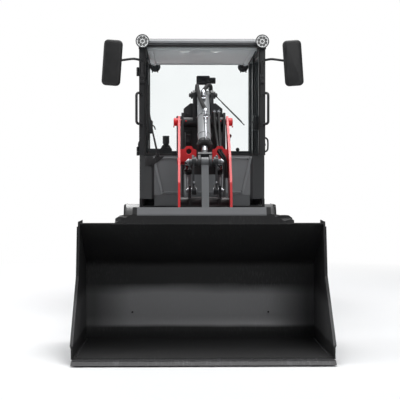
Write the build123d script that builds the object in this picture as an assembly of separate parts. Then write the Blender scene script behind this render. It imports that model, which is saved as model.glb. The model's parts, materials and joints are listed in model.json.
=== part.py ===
from build123d import *
import math
import os

# Compact articulated wheel loader with a closed cab. Millimetres, Z up.
# -Y is forward, +X is the driver's left. The origin is on the ground, in the
# middle of the box round the whole machine.

# ---- overall places, measured back from the cutting edge of the bucket
LIP_Y = -2400.0
FRONT_AXLE_Y = LIP_Y + 1800
ARM_PIVOT_Y = LIP_Y + 2160
STEER_Y = LIP_Y + 2620
REAR_AXLE_Y = LIP_Y + 3700
CAB_FRONT_Y = LIP_Y + 2470
CAB_LENGTH = 1300.0
CAB_REAR_Y = CAB_FRONT_Y + CAB_LENGTH
REAR_END_Y = -LIP_Y

# ---- clearances
FIT = 0.3          # between faces that seat on each other
PIN_FIT = 0.1      # radial, round a pin

# ---- wheels
TYRE_R = 443.0
TYRE_W = 390.0
HALF_TRACK = 505.0
RIM_R = 232.0
RIM_WALL = 10.0
DISC_T = 14.0
HUB_R = 95.0
AXLE_R = 62.0
DIFF_R = 135.0

# ---- linkage
ARM_PIVOT_Z = 1630.0
LINK_ARM = 218.0               # tilt pin above arm pin, at all three places
ROCKER_Y, ROCKER_Z = LIP_Y + 1550, 1075.0
COUPLER_Y, COUPLER_Z = LIP_Y + 1250, 330.0
LIFT_EYE_Y, LIFT_EYE_Z = LIP_Y + 1840, 1300.0
LIFT_BASE_Y, LIFT_BASE_Z = LIP_Y + 2300, 480.0
ARM_IN, ARM_T = 187.0, 18.0
ARM_OUT = ARM_IN + ARM_T
TOWER_OUT, TOWER_T = ARM_IN - 9, 18.0
TOWER_IN = TOWER_OUT - TOWER_T
LIFT_X = 126.0
LIFT_BARREL_R, LIFT_ROD_R = 28.0, 20.0
TILT_BARREL_R, TILT_ROD_R = 50.0, 24.0
PIN_R = 20.0
MAIN_PIN_R = 25.0
ROCKER_IN, ROCKER_T = 80.0, 15.0
LINK_W = 54.0

# ---- bucket
BUCKET_X = -45.0               # it hangs a little off the middle
BUCKET_W = 1650.0
SIDE_T = 12.0
SHELL_T = 8.0
BUCKET_DEPTH = 1070.0
BUCKET_Z = 10.0
BUCKET_TOP_Z = 865.0
EDGE_DEPTH, EDGE_T = 150.0, 25.0
GUARD_Z = 968.0

# ---- cab
CAB_HALF_W = 535.0
FLOOR_Z, FLOOR_T = 905.0, 30.0
ROOF_Z, ROOF_T = 2351.0, 40.0
SILL_Z = 1366.0
PILLAR = 55.0
DOOR_T = 36.0
GLASS_T = 6.0
SEAT_BASE_Z = 1130.0
B_PILLAR_Y = CAB_FRONT_Y + 790
FLOOR_TOP = FLOOR_Z + FLOOR_T
ROOF_UNDER = ROOF_Z - ROOF_T

# ---- rear body
FRAME_HALF_W = 250.0
FRAME_T = 20.0
FRAME_Z0, FRAME_Z1 = 380.0, 860.0
HOOD_HALF_W = 500.0
HOOD_Z0, HOOD_Z1, HOOD_TAIL_Z = 960.0, 1400.0, 1270.0
HOOD_T = 6.0
HOOD_BEVEL = 45.0
HOOD_Y0, HOOD_Y1 = CAB_REAR_Y + 25, REAR_END_Y - 70


def box(x0, x1, y0, y1, z0, z1):
    """Block between two corners."""
    return Pos((x0 + x1) / 2, (y0 + y1) / 2, (z0 + z1) / 2) * Box(abs(x1 - x0), abs(y1 - y0), abs(z1 - z0))


def bar_x(y, z, r, x0, x1):
    """Round bar along X."""
    return Pos((x0 + x1) / 2, y, z) * Rot(0, 90, 0) * Cylinder(r, abs(x1 - x0))


def bar_z(x, y, r, z0, z1):
    """Round bar along Z."""
    return Pos(x, y, (z0 + z1) / 2) * Cylinder(r, z1 - z0)


def rod(p, q, r):
    """Round bar from one point to another."""
    a, b = Vector(*p), Vector(*q)
    return Solid.make_cylinder(r, (b - a).length, Plane(origin=a, z_dir=(b - a)))


def plate_x(points, x0, x1):
    """Plate parallel to the Y-Z plane, cut to an outline of (y, z) points."""
    face = make_face(Polyline(*[(x0, y, z) for y, z in points], close=True))
    return extrude(face, amount=x1 - x0, dir=(1, 0, 0))


def plate_y(points, y0, y1):
    """Plate parallel to the X-Z plane, cut to an outline of (x, z) points."""
    face = make_face(Polyline(*[(x, y0, z) for x, z in points], close=True))
    return extrude(face, amount=y1 - y0, dir=(0, 1, 0))


def plate_z(points, z0, z1):
    """Plate parallel to the ground, cut to an outline of (x, y) points."""
    face = make_face(Polyline(*[(x, y, z0) for x, y in points], close=True))
    return extrude(face, amount=z1 - z0, dir=(0, 0, 1))


def turned_x(points, y, z, x0=0.0):
    """Ring turned about the line along X through (y, z), from (radius, x) points."""
    outline = make_face(Polyline(*[(x0 + x, y, z + r) for r, x in points], close=True))
    return revolve(outline, Axis((0, y, z), (1, 0, 0)))


def flip(shape):
    """The same shape on the other side of the middle plane."""
    return mirror(shape, about=Plane.YZ)


def pair(shape):
    """A shape and its mirror image."""
    return [shape, flip(shape)]


def fuse(*shapes):
    """One solid from several that overlap."""
    whole = shapes[0]
    for shape in shapes[1:]:
        whole = whole + shape
    return whole


def save(name, *shapes):
    """Write the solids of one node."""
    solids = [s for shape in shapes for s in shape.solids()]
    export_step(Compound(solids) if len(solids) > 1 else solids[0], f"parts/{name}.step")


os.makedirs("parts", exist_ok=True)


# ---------------------------------------------------------------- wheels
def wheel(name, x_mid, y):
    """Tyre with rounded shoulders on a one-piece dished rim with its hub."""
    side = 1 if x_mid > 0 else -1
    half, bead = TYRE_W / 2, TYRE_W / 2 - 45
    # radius, distance from the middle of the tread
    section = [(RIM_R, -bead), (RIM_R + 75, -half), (TYRE_R - 110, -half), (TYRE_R - 28, -half + 32),
               (TYRE_R, -half + 85), (TYRE_R, half - 85), (TYRE_R - 28, half - 32),
               (TYRE_R - 110, half), (RIM_R + 75, half), (RIM_R, bead)]
    save(f"{name}_tyre", turned_x(section, y, TYRE_R, x_mid))
    r_in = RIM_R - RIM_WALL
    rim = bar_x(y, TYRE_R, RIM_R - FIT, x_mid - bead, x_mid + bead) - bar_x(
        y, TYRE_R, r_in, x_mid - bead - 1, x_mid + bead + 1)
    disc_x = x_mid + side * 20
    disc = bar_x(y, TYRE_R, r_in + 2, disc_x, disc_x + side * DISC_T)
    hub = bar_x(y, TYRE_R, HUB_R, side * HUB_FACE, disc_x + side * 45)
    save(f"{name}_rim", fuse(rim, disc, hub))


HUB_FACE = 305.0               # where the hub meets the axle
for place, axle_y in [("front", FRONT_AXLE_Y), ("rear", REAR_AXLE_Y)]:
    for side_name, side_x in [("left", HALF_TRACK), ("right", -HALF_TRACK)]:
        wheel(f"{place}_{side_name}", side_x, axle_y)
    half_axle = HUB_FACE - FIT
    axle = fuse(bar_x(axle_y, TYRE_R, AXLE_R, -half_axle, half_axle),
                bar_x(axle_y, TYRE_R, DIFF_R, -85, 85),
                bar_x(axle_y, TYRE_R, HUB_R, -half_axle, -half_axle + 40),
                bar_x(axle_y, TYRE_R, HUB_R, half_axle - 40, half_axle))
    save(f"{place}_axle", axle)

# ---------------------------------------------------------------- front frame
STEER_PIN_R = 32.0
LUG_T = 40.0
FRONT_LUG_Z = (FRAME_Z0, FRAME_Z1 - 200)
LUG_R = 85.0
tower_y0, tower_y1 = ARM_PIVOT_Y - 110, ARM_PIVOT_Y + 55
base_y0 = FRONT_AXLE_Y - 150
base_y1 = STEER_Y - 225
tower_top = ARM_PIVOT_Z + 68
# outline (y, z) of one side plate of the tower
tower = [(base_y0, 300), (base_y1, 300), (base_y1, 820), (tower_y1, 1000), (tower_y1, tower_top),
         (tower_y0, tower_top), (tower_y0 - 60, 1100), (base_y0 + 240, 760), (base_y0, 640)]
side_plate = plate_x(tower, TOWER_IN, TOWER_OUT)
front = fuse(
    side_plate, flip(side_plate),
    box(-TOWER_IN, TOWER_IN, base_y0, base_y0 + 20, 330, 600),
    box(-TOWER_IN, TOWER_IN, base_y1 - 25, base_y1, 300, 820),
    plate_y([(-TOWER_IN, 1200), (TOWER_IN, 1200), (TOWER_IN, 1740), (105, 1785), (-105, 1785),
             (-TOWER_IN, 1740)],
            tower_y1 - 16, tower_y1),
    bar_x(ARM_PIVOT_Y, ARM_PIVOT_Z, 40, -TOWER_IN, TOWER_IN))
lug_outline = [(ARM_PIVOT_Y - 45, ARM_PIVOT_Z), (tower_y1 - 5, ARM_PIVOT_Z),
               (tower_y1 - 5, ARM_PIVOT_Z + LINK_ARM),
               (ARM_PIVOT_Y + 25, ARM_PIVOT_Z + LINK_ARM + 38),
               (ARM_PIVOT_Y - 25, ARM_PIVOT_Z + LINK_ARM + 38),
               (ARM_PIVOT_Y - 45, ARM_PIVOT_Z + LINK_ARM + 18)]
TILT_LUG_IN, TILT_LUG_T = 62.0, 22.0
tilt_lug = plate_x(lug_outline, TILT_LUG_IN, TILT_LUG_IN + TILT_LUG_T)
front = fuse(front, tilt_lug, flip(tilt_lug))
# lugs for the steering pins, wide at the frame and round at the pin
for lug_z in FRONT_LUG_Z:
    outline = [(-TOWER_OUT, base_y1 - 20), (TOWER_OUT, base_y1 - 20), (LUG_R, STEER_Y), (-LUG_R, STEER_Y)]
    front = fuse(front, plate_z(outline, lug_z, lug_z + LUG_T),
                 bar_z(0, STEER_Y, LUG_R, lug_z, lug_z + LUG_T))
    front = front - bar_z(0, STEER_Y, STEER_PIN_R + PIN_FIT, lug_z - 1, lug_z + LUG_T + 1)
tower_holes = bar_x(ARM_PIVOT_Y, ARM_PIVOT_Z, MAIN_PIN_R + PIN_FIT, -300, 300)
tilt_holes = bar_x(ARM_PIVOT_Y, ARM_PIVOT_Z + LINK_ARM, PIN_R + PIN_FIT, -300, 300)
axle_hole = bar_x(FRONT_AXLE_Y, TYRE_R, AXLE_R + FIT, -300, 300)
diff_room = bar_x(FRONT_AXLE_Y, TYRE_R, DIFF_R + 10, -95, 95)
front = front - tower_holes - tilt_holes - axle_hole - diff_room
# pins and inner plates that hold the foot of each lift cylinder
foot_plate = box(70, 88, LIFT_BASE_Y - 50, base_y1 - 24, 380, 560)
foot_pin = bar_x(LIFT_BASE_Y, LIFT_BASE_Z, PIN_R, 80, TOWER_IN + 2)
front = fuse(front, foot_plate, foot_pin, flip(foot_plate), flip(foot_pin))
save("front_frame", front, bar_x(ARM_PIVOT_Y, ARM_PIVOT_Z + LINK_ARM, PIN_R, -90, 90))

# ---------------------------------------------------------------- lift arm
# outline (y, z) of one arm plate, from the tower pin round to the coupler pin
arm_outline = [
    (ARM_PIVOT_Y - 35, ARM_PIVOT_Z + 46), (ARM_PIVOT_Y + 35, ARM_PIVOT_Z + 42),
    (ARM_PIVOT_Y + 52, ARM_PIVOT_Z + 5),
    (ARM_PIVOT_Y + 38, ARM_PIVOT_Z - 40), (LIFT_EYE_Y + 45, LIFT_EYE_Z - 75),
    (LIFT_EYE_Y - 140, LIFT_EYE_Z - 320),
    (ROCKER_Y - 85, ROCKER_Z - 440), (COUPLER_Y + 48, COUPLER_Z + 20), (COUPLER_Y + 40, COUPLER_Z - 28),
    (COUPLER_Y, COUPLER_Z - 48), (COUPLER_Y - 42, COUPLER_Z - 20), (COUPLER_Y - 40, COUPLER_Z + 30),
    (COUPLER_Y + 20, COUPLER_Z + 62), (COUPLER_Y + 112, COUPLER_Z + 330), (ROCKER_Y - 60, ROCKER_Z + 60),
    (ROCKER_Y + 90, ROCKER_Z + 250)]
TORSION_Y, TORSION_Z, TORSION_R = ROCKER_Y + 97, ROCKER_Z - 93, 42.0
LUG_IN, LUG_OUT = 105.0, 125.0
arm_plate = plate_x(arm_outline, ARM_IN, ARM_OUT) - bar_x(
    COUPLER_Y, COUPLER_Z, PIN_R + PIN_FIT, ARM_IN - 1, ARM_OUT + 1)
arm_boss = bar_x(ARM_PIVOT_Y, ARM_PIVOT_Z, 33, ARM_OUT - 1, ARM_OUT + 30)
arm_pin = bar_x(ARM_PIVOT_Y, ARM_PIVOT_Z, MAIN_PIN_R, 100, ARM_OUT)
eye_stub = bar_x(LIFT_EYE_Y, LIFT_EYE_Z, 26, LIFT_X + 28, ARM_OUT + 6)
rocker_lug = plate_x([(ROCKER_Y - 40, ROCKER_Z + 34), (ROCKER_Y + 30, ROCKER_Z + 40),
                      (TORSION_Y + 40, TORSION_Z + 20), (TORSION_Y - 20, TORSION_Z - 38),
                      (ROCKER_Y - 34, ROCKER_Z - 30)], LUG_IN, LUG_OUT)
hose_eye_z, hose_eye_x, HOSE_EYE_R = 1376.0, 120.0, 25.0
hose_plate = plate_y([(62, 1300), (ARM_IN + 2, 1300), (ARM_IN + 2, 1392), (155, 1396), (140, 1418),
                      (100, 1418),
                      (85, 1396), (62, 1390)], LIP_Y + 1744, LIP_Y + 1756)
hose_plate = hose_plate - Pos(hose_eye_x, LIP_Y + 1750, hose_eye_z) * Rot(90, 0, 0) * Cylinder(HOSE_EYE_R,
                                                                                               40)
half_arm = fuse(arm_plate, arm_boss, arm_pin, eye_stub, hose_plate)
arm = fuse(half_arm, bar_x(TORSION_Y, TORSION_Z, TORSION_R, -ARM_IN - 1, ARM_IN + 1), flip(half_arm),
           rocker_lug, flip(rocker_lug))
arm = arm - bar_x(ROCKER_Y, ROCKER_Z, PIN_R + PIN_FIT, -LUG_OUT - 1, LUG_OUT + 1)
save("lift_arm", arm)

# ---------------------------------------------------------------- rocker
rocker_top_z = ROCKER_Z + LINK_ARM
pin_solids = pair(bar_x(ROCKER_Y, ROCKER_Z, PIN_R, 63, LUG_OUT + 5))
save("rocker_pins", *pin_solids)
rocker_plate = fuse(
    box(ROCKER_IN, ROCKER_IN + ROCKER_T, ROCKER_Y - 34, ROCKER_Y + 34, ROCKER_Z, rocker_top_z),
    bar_x(ROCKER_Y, ROCKER_Z, 36, ROCKER_IN - 14, ROCKER_IN + ROCKER_T + 5),
    bar_x(ROCKER_Y, rocker_top_z, 38, ROCKER_IN - 14, ROCKER_IN + ROCKER_T + 5))
rocker_plate = rocker_plate - bar_x(ROCKER_Y, ROCKER_Z, PIN_R + PIN_FIT, 0, 200)
rocker_plate = rocker_plate - bar_x(ROCKER_Y, rocker_top_z, PIN_R + PIN_FIT, 0, 200)
save("rocker", *pair(rocker_plate))
# top pin: ends in the rocker plates, middle in the eye of the link
top_pins = pair(bar_x(ROCKER_Y, rocker_top_z, PIN_R, 58, ROCKER_IN + ROCKER_T + 28))
save("rocker_top_pin", *top_pins, bar_x(ROCKER_Y, rocker_top_z, PIN_R, -LINK_W / 2 - 1, LINK_W / 2 + 1))

# ---------------------------------------------------------------- link bar
link_foot_z = COUPLER_Z + LINK_ARM
run_y, run_z = COUPLER_Y - ROCKER_Y, link_foot_z - rocker_top_z
run = math.hypot(run_y, run_z)
LINK_HALF_T = 13.0
side_y, side_z = -run_z / run * LINK_HALF_T, run_y / run * LINK_HALF_T
link_bar = plate_x([(ROCKER_Y + side_y, rocker_top_z + side_z), (COUPLER_Y + side_y, link_foot_z + side_z),
                    (COUPLER_Y - side_y, link_foot_z - side_z), (ROCKER_Y - side_y, rocker_top_z - side_z)],
                   -LINK_W / 2, LINK_W / 2)
link = fuse(link_bar, bar_x(ROCKER_Y, rocker_top_z, 34, -LINK_W / 2, LINK_W / 2),
            bar_x(COUPLER_Y, link_foot_z, 32, -LINK_W / 2, LINK_W / 2))
link = link - bar_x(ROCKER_Y, rocker_top_z, PIN_R + PIN_FIT, -100, 100)
link = link - bar_x(COUPLER_Y, link_foot_z, PIN_R + PIN_FIT, -100, 100)
save("bucket_link", link)

# ---------------------------------------------------------------- tilt cylinder
tilt_z = ARM_PIVOT_Z + LINK_ARM
TILT_LENGTH = math.hypot(ROCKER_Y - ARM_PIVOT_Y, rocker_top_z - tilt_z)
tilt_dy, tilt_dz = (ROCKER_Y - ARM_PIVOT_Y) / TILT_LENGTH, (rocker_top_z - tilt_z) / TILT_LENGTH


def along_tilt(distance):
    """Point on the tilt cylinder, that far from its rear pin."""
    return (0, ARM_PIVOT_Y + distance * tilt_dy, tilt_z + distance * tilt_dz)


TILT_GLAND = TILT_LENGTH - 185
tilt_barrel = fuse(rod(along_tilt(48), along_tilt(TILT_GLAND), TILT_BARREL_R),
                   bar_x(ARM_PIVOT_Y, tilt_z, 38, -50, 50),
                   rod(along_tilt(12), along_tilt(60), 34))
tilt_barrel = tilt_barrel - rod(along_tilt(150), along_tilt(TILT_GLAND + 1), TILT_ROD_R + PIN_FIT)
tilt_barrel = tilt_barrel - bar_x(ARM_PIVOT_Y, tilt_z, PIN_R + PIN_FIT, -100, 100)
save("tilt_cylinder_barrel", tilt_barrel)
CHEEK_IN, CHEEK_OUT = 33.0, 53.0
EYE_R, YOKE_BACK, YOKE_T = 34.0, 76.0, 20.0
eye_plane = Plane(origin=along_tilt(TILT_LENGTH), x_dir=(1, 0, 0), z_dir=(0, tilt_dy, tilt_dz))
cheek_mid = (CHEEK_IN + CHEEK_OUT) / 2
cheek = fuse(bar_x(ROCKER_Y, rocker_top_z, EYE_R, CHEEK_IN, CHEEK_OUT),
             eye_plane * Pos(cheek_mid, 0, -YOKE_BACK / 2) * Box(CHEEK_OUT - CHEEK_IN, 48, YOKE_BACK))
yoke = eye_plane * Pos(0, 0, -YOKE_BACK + YOKE_T / 2) * Box(2 * CHEEK_OUT, 60, YOKE_T)
tilt_rod = fuse(rod(along_tilt(260), along_tilt(TILT_LENGTH - YOKE_BACK + 5), TILT_ROD_R), yoke, cheek,
                flip(cheek))
save("tilt_cylinder_rod", tilt_rod)

# ---------------------------------------------------------------- lift cylinders
LIFT_LENGTH = math.hypot(LIFT_EYE_Y - LIFT_BASE_Y, LIFT_EYE_Z - LIFT_BASE_Z)
lift_dy, lift_dz = (LIFT_EYE_Y - LIFT_BASE_Y) / LIFT_LENGTH, (LIFT_EYE_Z - LIFT_BASE_Z) / LIFT_LENGTH


def along_lift(distance):
    """Point on the left lift cylinder, that far from its foot pin."""
    return (LIFT_X, LIFT_BASE_Y + distance * lift_dy, LIFT_BASE_Z + distance * lift_dz)


LIFT_GLAND = LIFT_LENGTH - 90
lift_barrel = fuse(rod(along_lift(30), along_lift(LIFT_GLAND), LIFT_BARREL_R),
                   bar_x(LIFT_BASE_Y, LIFT_BASE_Z, 36, LIFT_X - 26, LIFT_X + 26))
lift_barrel = lift_barrel - rod(along_lift(60), along_lift(LIFT_GLAND + 1), LIFT_ROD_R + PIN_FIT)
lift_barrel = lift_barrel - bar_x(LIFT_BASE_Y, LIFT_BASE_Z, PIN_R + PIN_FIT, 0, 300)
save("lift_cylinder_barrels", *pair(lift_barrel))
lift_rod = fuse(rod(along_lift(80), along_lift(LIFT_LENGTH - 10), LIFT_ROD_R),
                bar_x(LIFT_EYE_Y, LIFT_EYE_Z, 36, LIFT_X - 25, LIFT_X + 25))
save("lift_cylinder_rods", *pair(lift_rod))

# ---------------------------------------------------------------- coupler
top_y = LIP_Y + BUCKET_DEPTH
coupler_side = plate_x([(top_y + 2, 95), (COUPLER_Y + 25, COUPLER_Z - 60), (COUPLER_Y + 48, COUPLER_Z),
                        (COUPLER_Y + 20, COUPLER_Z + 45), (top_y + 2, 520)], ARM_IN - 37, ARM_IN - 6)
coupler_outer = plate_x([(top_y + 2, 95), (COUPLER_Y + 25, COUPLER_Z - 60), (COUPLER_Y + 44, COUPLER_Z),
                         (COUPLER_Y + 10, COUPLER_Z + 42), (top_y + 2, 500)], ARM_OUT + 6, ARM_OUT + 26)
TOP_LUG_IN, TOP_LUG_T = LINK_W / 2 + 6, 18.0
top_lug = plate_x([(top_y + 2, 300), (top_y + 110, 300), (COUPLER_Y + 30, link_foot_z - 30),
                   (COUPLER_Y + 32, link_foot_z + 18), (COUPLER_Y + 5, link_foot_z + 34),
                   (COUPLER_Y - 40, link_foot_z + 28), (top_y + 2, 520)], TOP_LUG_IN,
                   TOP_LUG_IN + TOP_LUG_T)
hook_bar = bar_x(top_y + 32, 440, 28, -430, 430)
lock_bar = box(-430, 430, top_y + 4, top_y + 50, 110, 190)
mid_beam = box(-ARM_OUT - 26, ARM_OUT + 26, top_y + 2, top_y + 22, 110, 500)
coupler = fuse(mid_beam, hook_bar, lock_bar, coupler_side, coupler_outer, top_lug,
               flip(coupler_side), flip(coupler_outer), flip(top_lug))
coupler = coupler - bar_x(COUPLER_Y, COUPLER_Z, PIN_R + PIN_FIT, -300, 300)
coupler = fuse(coupler, bar_x(COUPLER_Y, link_foot_z, PIN_R, -TOP_LUG_IN - TOP_LUG_T - 6,
                              TOP_LUG_IN + TOP_LUG_T + 6))
save("coupler", coupler)
PIN_HEAD_R, PIN_HEAD_T = 44.0, 14.0       # collars that hold each pin endways
coupler_pin = fuse(bar_x(COUPLER_Y, COUPLER_Z, PIN_R, ARM_IN - 44, ARM_OUT + 36),
                   bar_x(COUPLER_Y, COUPLER_Z, PIN_HEAD_R, ARM_OUT + 26 + FIT, ARM_OUT + 26 + FIT + PIN_HEAD_T),
                   bar_x(COUPLER_Y, COUPLER_Z, PIN_HEAD_R, ARM_IN - 37 - FIT - PIN_HEAD_T, ARM_IN - 37 - FIT))
save("coupler_pins", *pair(coupler_pin))

# ---------------------------------------------------------------- bucket
bx0, bx1 = BUCKET_X - BUCKET_W / 2, BUCKET_X + BUCKET_W / 2
back_y = LIP_Y + BUCKET_DEPTH
BACK_BEND_Z = 565.0
TOP_Y = LIP_Y + 570
BACK_R = 150.0


def shell_outline(inset, x):
    """Face of the closed side outline of the bucket, drawn in by a wall."""
    lean = inset / math.cos(math.atan2(BUCKET_TOP_Z - BACK_BEND_Z, back_y - TOP_Y))
    start, z0 = LIP_Y + 110, BUCKET_Z + 22 + inset
    corners = [(x, start - 3 * inset, z0), (x, back_y - inset, z0),
               (x, back_y - inset, BACK_BEND_Z - lean * 0.6),
               (x, TOP_Y - 3 * inset, BUCKET_TOP_Z - lean * 0.7 + 1.5 * inset)]
    path = FilletPolyline(*corners, radius=[BACK_R - inset, 60 - inset])
    return make_face(path + Line(corners[-1], corners[0]))


shell = extrude(shell_outline(0, bx0 + SIDE_T), amount=BUCKET_W - 2 * SIDE_T, dir=(1, 0, 0))
shell = shell - extrude(shell_outline(SHELL_T, bx0 + SIDE_T - 1), amount=BUCKET_W - 2 * SIDE_T + 2,
                        dir=(1, 0, 0))
front_edge = [(LIP_Y + 100, BUCKET_Z + 22), (LIP_Y + 100, 112), (LIP_Y + 500, 516),
              (LIP_Y + 570, BUCKET_TOP_Z)]
side_outline = front_edge + [(back_y, BACK_BEND_Z), (back_y, BUCKET_Z + 22 + BACK_R * 0.5),
                             (back_y - BACK_R * 0.5, BUCKET_Z + 22)]
sides = [plate_x(side_outline, bx0, bx0 + SIDE_T), plate_x(side_outline, bx1 - SIDE_T, bx1)]
GUARD_BASE, GUARD_TOP = 600.0, 462.0
guard = plate_y([(BUCKET_X - GUARD_BASE, BUCKET_TOP_Z - 12), (BUCKET_X + GUARD_BASE, BUCKET_TOP_Z - 12),
                 (BUCKET_X + GUARD_TOP, GUARD_Z - 45), (BUCKET_X - GUARD_TOP, GUARD_Z - 45)], TOP_Y,
                 TOP_Y + 8)
flange = Pos(BUCKET_X, TOP_Y + 16, GUARD_Z - 24) * Rot(-25, 0, 0) * Box(2 * GUARD_TOP, 8, 50)
bucket = fuse(shell, sides[0], sides[1], guard, flange)
for hook_x in (-330, -290, 274, 314):
    hook = plate_x([(back_y - 2, 95), (back_y + 60, 95), (back_y + 60, 200), (back_y + 20, 230),
                    (back_y + 20, 400),
                    (back_y + 66, 400), (back_y + 66, 500), (back_y - 2, 540)], hook_x, hook_x + 16)
    hook = hook - bar_x(top_y + 32, 440, 28 + FIT, hook_x - 1, hook_x + 17)
    hook = hook - box(hook_x - 1, hook_x + 17, top_y + 4 - FIT, top_y + 51, 110 - FIT, 190 + FIT)
    bucket = bucket + hook
edge = plate_x([(LIP_Y, BUCKET_Z), (LIP_Y + EDGE_DEPTH, BUCKET_Z), (LIP_Y + EDGE_DEPTH, BUCKET_Z + 21.7),
                (LIP_Y + 36, BUCKET_Z + 21.7)], bx0 + 7, bx1 - 7)
save("cutting_edge", edge)
strips = []
for x0, x1 in [(bx0 - 8, bx0 - FIT), (bx1 + FIT, bx1 + 8)]:
    strips.append(plate_x([(LIP_Y + 112, 115), (LIP_Y + 508, 515), (LIP_Y + 575, 840), (LIP_Y + 640, 800),
                           (LIP_Y + 575, 500), (LIP_Y + 180, 80)], x0, x1))
save("bucket", bucket, *strips)

# ---------------------------------------------------------------- rear frame
frame_plate = plate_x([(STEER_Y + 200, FRAME_Z0), (REAR_END_Y - 240, FRAME_Z0),
                       (REAR_END_Y - 240, FRAME_Z1),
                       (STEER_Y + 200, FRAME_Z1)], FRAME_HALF_W - FRAME_T, FRAME_HALF_W)
nose = box(-FRAME_HALF_W, FRAME_HALF_W, STEER_Y + 200, STEER_Y + 225, FRAME_Z0, FRAME_Z1)
rear_frame = fuse(frame_plate, flip(frame_plate), nose)
REAR_LUG_Z = [z + LUG_T + 2 for z in FRONT_LUG_Z]
for lug_z in REAR_LUG_Z:
    outline = [(-LUG_R, STEER_Y), (LUG_R, STEER_Y), (200, STEER_Y + 205), (-200, STEER_Y + 205)]
    rear_frame = fuse(rear_frame, plate_z(outline, lug_z, lug_z + LUG_T),
                      bar_z(0, STEER_Y, LUG_R, lug_z, lug_z + LUG_T))
    rear_frame = fuse(rear_frame, bar_z(0, STEER_Y, STEER_PIN_R, lug_z - LUG_T - 12, lug_z + 1))
deck_z1 = FLOOR_Z - FIT
for y0, y1 in [(STEER_Y + 210, STEER_Y + 290), (REAR_AXLE_Y - 40, REAR_AXLE_Y + 30),
               (REAR_END_Y - 330, REAR_END_Y - 240)]:
    rear_frame = fuse(rear_frame, box(-FRAME_HALF_W, FRAME_HALF_W, y0, y1, FRAME_Z1 - 30, deck_z1))
rear_frame = rear_frame - bar_x(REAR_AXLE_Y, TYRE_R, AXLE_R + FIT, -300, 300)
save("rear_frame", rear_frame)
ENGINE_Y0, ENGINE_Y1 = CAB_REAR_Y + 110, REAR_END_Y - 290
save("engine_block", box(-210, 210, ENGINE_Y0, ENGINE_Y1, deck_z1 + FIT, HOOD_TAIL_Z - 70))

# ballast at the tail with the tow jaw
BALLAST_HALF_W = 600.0
ballast_y0 = REAR_END_Y - 240 + FIT
ballast = box(-BALLAST_HALF_W, BALLAST_HALF_W, ballast_y0, REAR_END_Y - 30, FRAME_Z0 + 20, HOOD_Z0 - 30)
for edge_x in (-BALLAST_HALF_W, BALLAST_HALF_W):
    corner = Pos(edge_x, REAR_END_Y - 30, 650) * Rot(0, 0, 45) * Box(110, 110, 700)
    ballast = ballast - corner
JAW_PIN_R = 16.0
JAW_Z0, JAW_Z1, JAW_T = 520.0, 600.0, 20.0
jaw_y = REAR_END_Y - 40
ballast = ballast - box(-90, 90, REAR_END_Y - 120, REAR_END_Y, FRAME_Z0, JAW_Z1 + 60)
for jaw_z in (JAW_Z0 - 20, JAW_Z1):
    ballast = ballast + box(-60, 60, REAR_END_Y - 121, REAR_END_Y, jaw_z, jaw_z + JAW_T)
ballast = ballast - bar_z(0, jaw_y, JAW_PIN_R, JAW_Z0 - 60, JAW_Z1 + 59)
save("counterweight", ballast)
LAMP_Z = HOOD_Z0 - 110
save("tail_lights", *pair(box(430, 530, REAR_END_Y - 30 + FIT, REAR_END_Y - 8, LAMP_Z, LAMP_Z + 60)))

# tanks between the wheels, with a step on each
TANK_Y0, TANK_Y1 = STEER_Y + 225, REAR_AXLE_Y - TYRE_R - 45
tank = box(FRAME_HALF_W + FIT, 500, TANK_Y0, TANK_Y1, 420, 855)
save("side_tanks", *pair(tank))
STEP_OUT = 690.0
step = fuse(box(500 + FIT, STEP_OUT, TANK_Y0 + 20, TANK_Y1 - 20, 400, 425),
            box(500 + FIT, 512, TANK_Y0 + 20, TANK_Y1 - 20, 400, 700),
            box(500 + FIT, 620, TANK_Y0 + 20, TANK_Y1 - 20, 680, 700))
save("steps", *pair(step))

# fenders over the rear wheels
FENDER_R, FENDER_T = TYRE_R + 37, 5.0
fender = bar_x(REAR_AXLE_Y, TYRE_R, FENDER_R + FENDER_T, CAB_HALF_W + FIT, 715) - bar_x(
    REAR_AXLE_Y, TYRE_R, FENDER_R, 500, 730)
fender = fender & box(500, 730, REAR_AXLE_Y - 390, REAR_AXLE_Y + 390, TYRE_R + 285, 1000)
save("rear_fenders", *pair(fender))

# ---------------------------------------------------------------- hood
hood_side = [(HOOD_Y0, HOOD_Z0), (HOOD_Y1 + 25, HOOD_Z0), (HOOD_Y1 + 10, HOOD_TAIL_Z - 60),
             (HOOD_Y1 - 60, HOOD_TAIL_Z), (HOOD_Y0, HOOD_Z1)]
hood_block = plate_x(hood_side, -HOOD_HALF_W, HOOD_HALF_W)
top_edges = [e for e in hood_block.edges() if abs(abs(e.center().X) - HOOD_HALF_W) < 1
             and e.center().Z > HOOD_TAIL_Z - 70 and abs(e.center().Y - HOOD_Y0) > 5
             and abs(e.center().Y - HOOD_Y1) > 80]
hood_block = chamfer(top_edges, HOOD_BEVEL)
inner_side = [(HOOD_Y0 - 1, HOOD_Z0 - 1), (HOOD_Y1 + 25 - HOOD_T, HOOD_Z0 - 1),
              (HOOD_Y1 + 10 - HOOD_T, HOOD_TAIL_Z - 60),
              (HOOD_Y1 - 62, HOOD_TAIL_Z - HOOD_T), (HOOD_Y0 - 1, HOOD_Z1 - HOOD_T)]
hood_room = plate_x(inner_side, -HOOD_HALF_W + HOOD_T, HOOD_HALF_W - HOOD_T)
room_edges = [e for e in hood_room.edges() if abs(abs(e.center().X) - HOOD_HALF_W + HOOD_T) < 1
              and e.center().Z > HOOD_TAIL_Z - 70 and abs(e.center().Y - HOOD_Y0) > 5
              and abs(e.center().Y - HOOD_Y1) > 80]
hood = hood_block - chamfer(room_edges, HOOD_BEVEL - 1)
GRILLE_Z0, GRILLE_Z1, GRILLE_HALF_W = HOOD_Z0 + 40, HOOD_TAIL_Z - 80, 330.0
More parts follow.
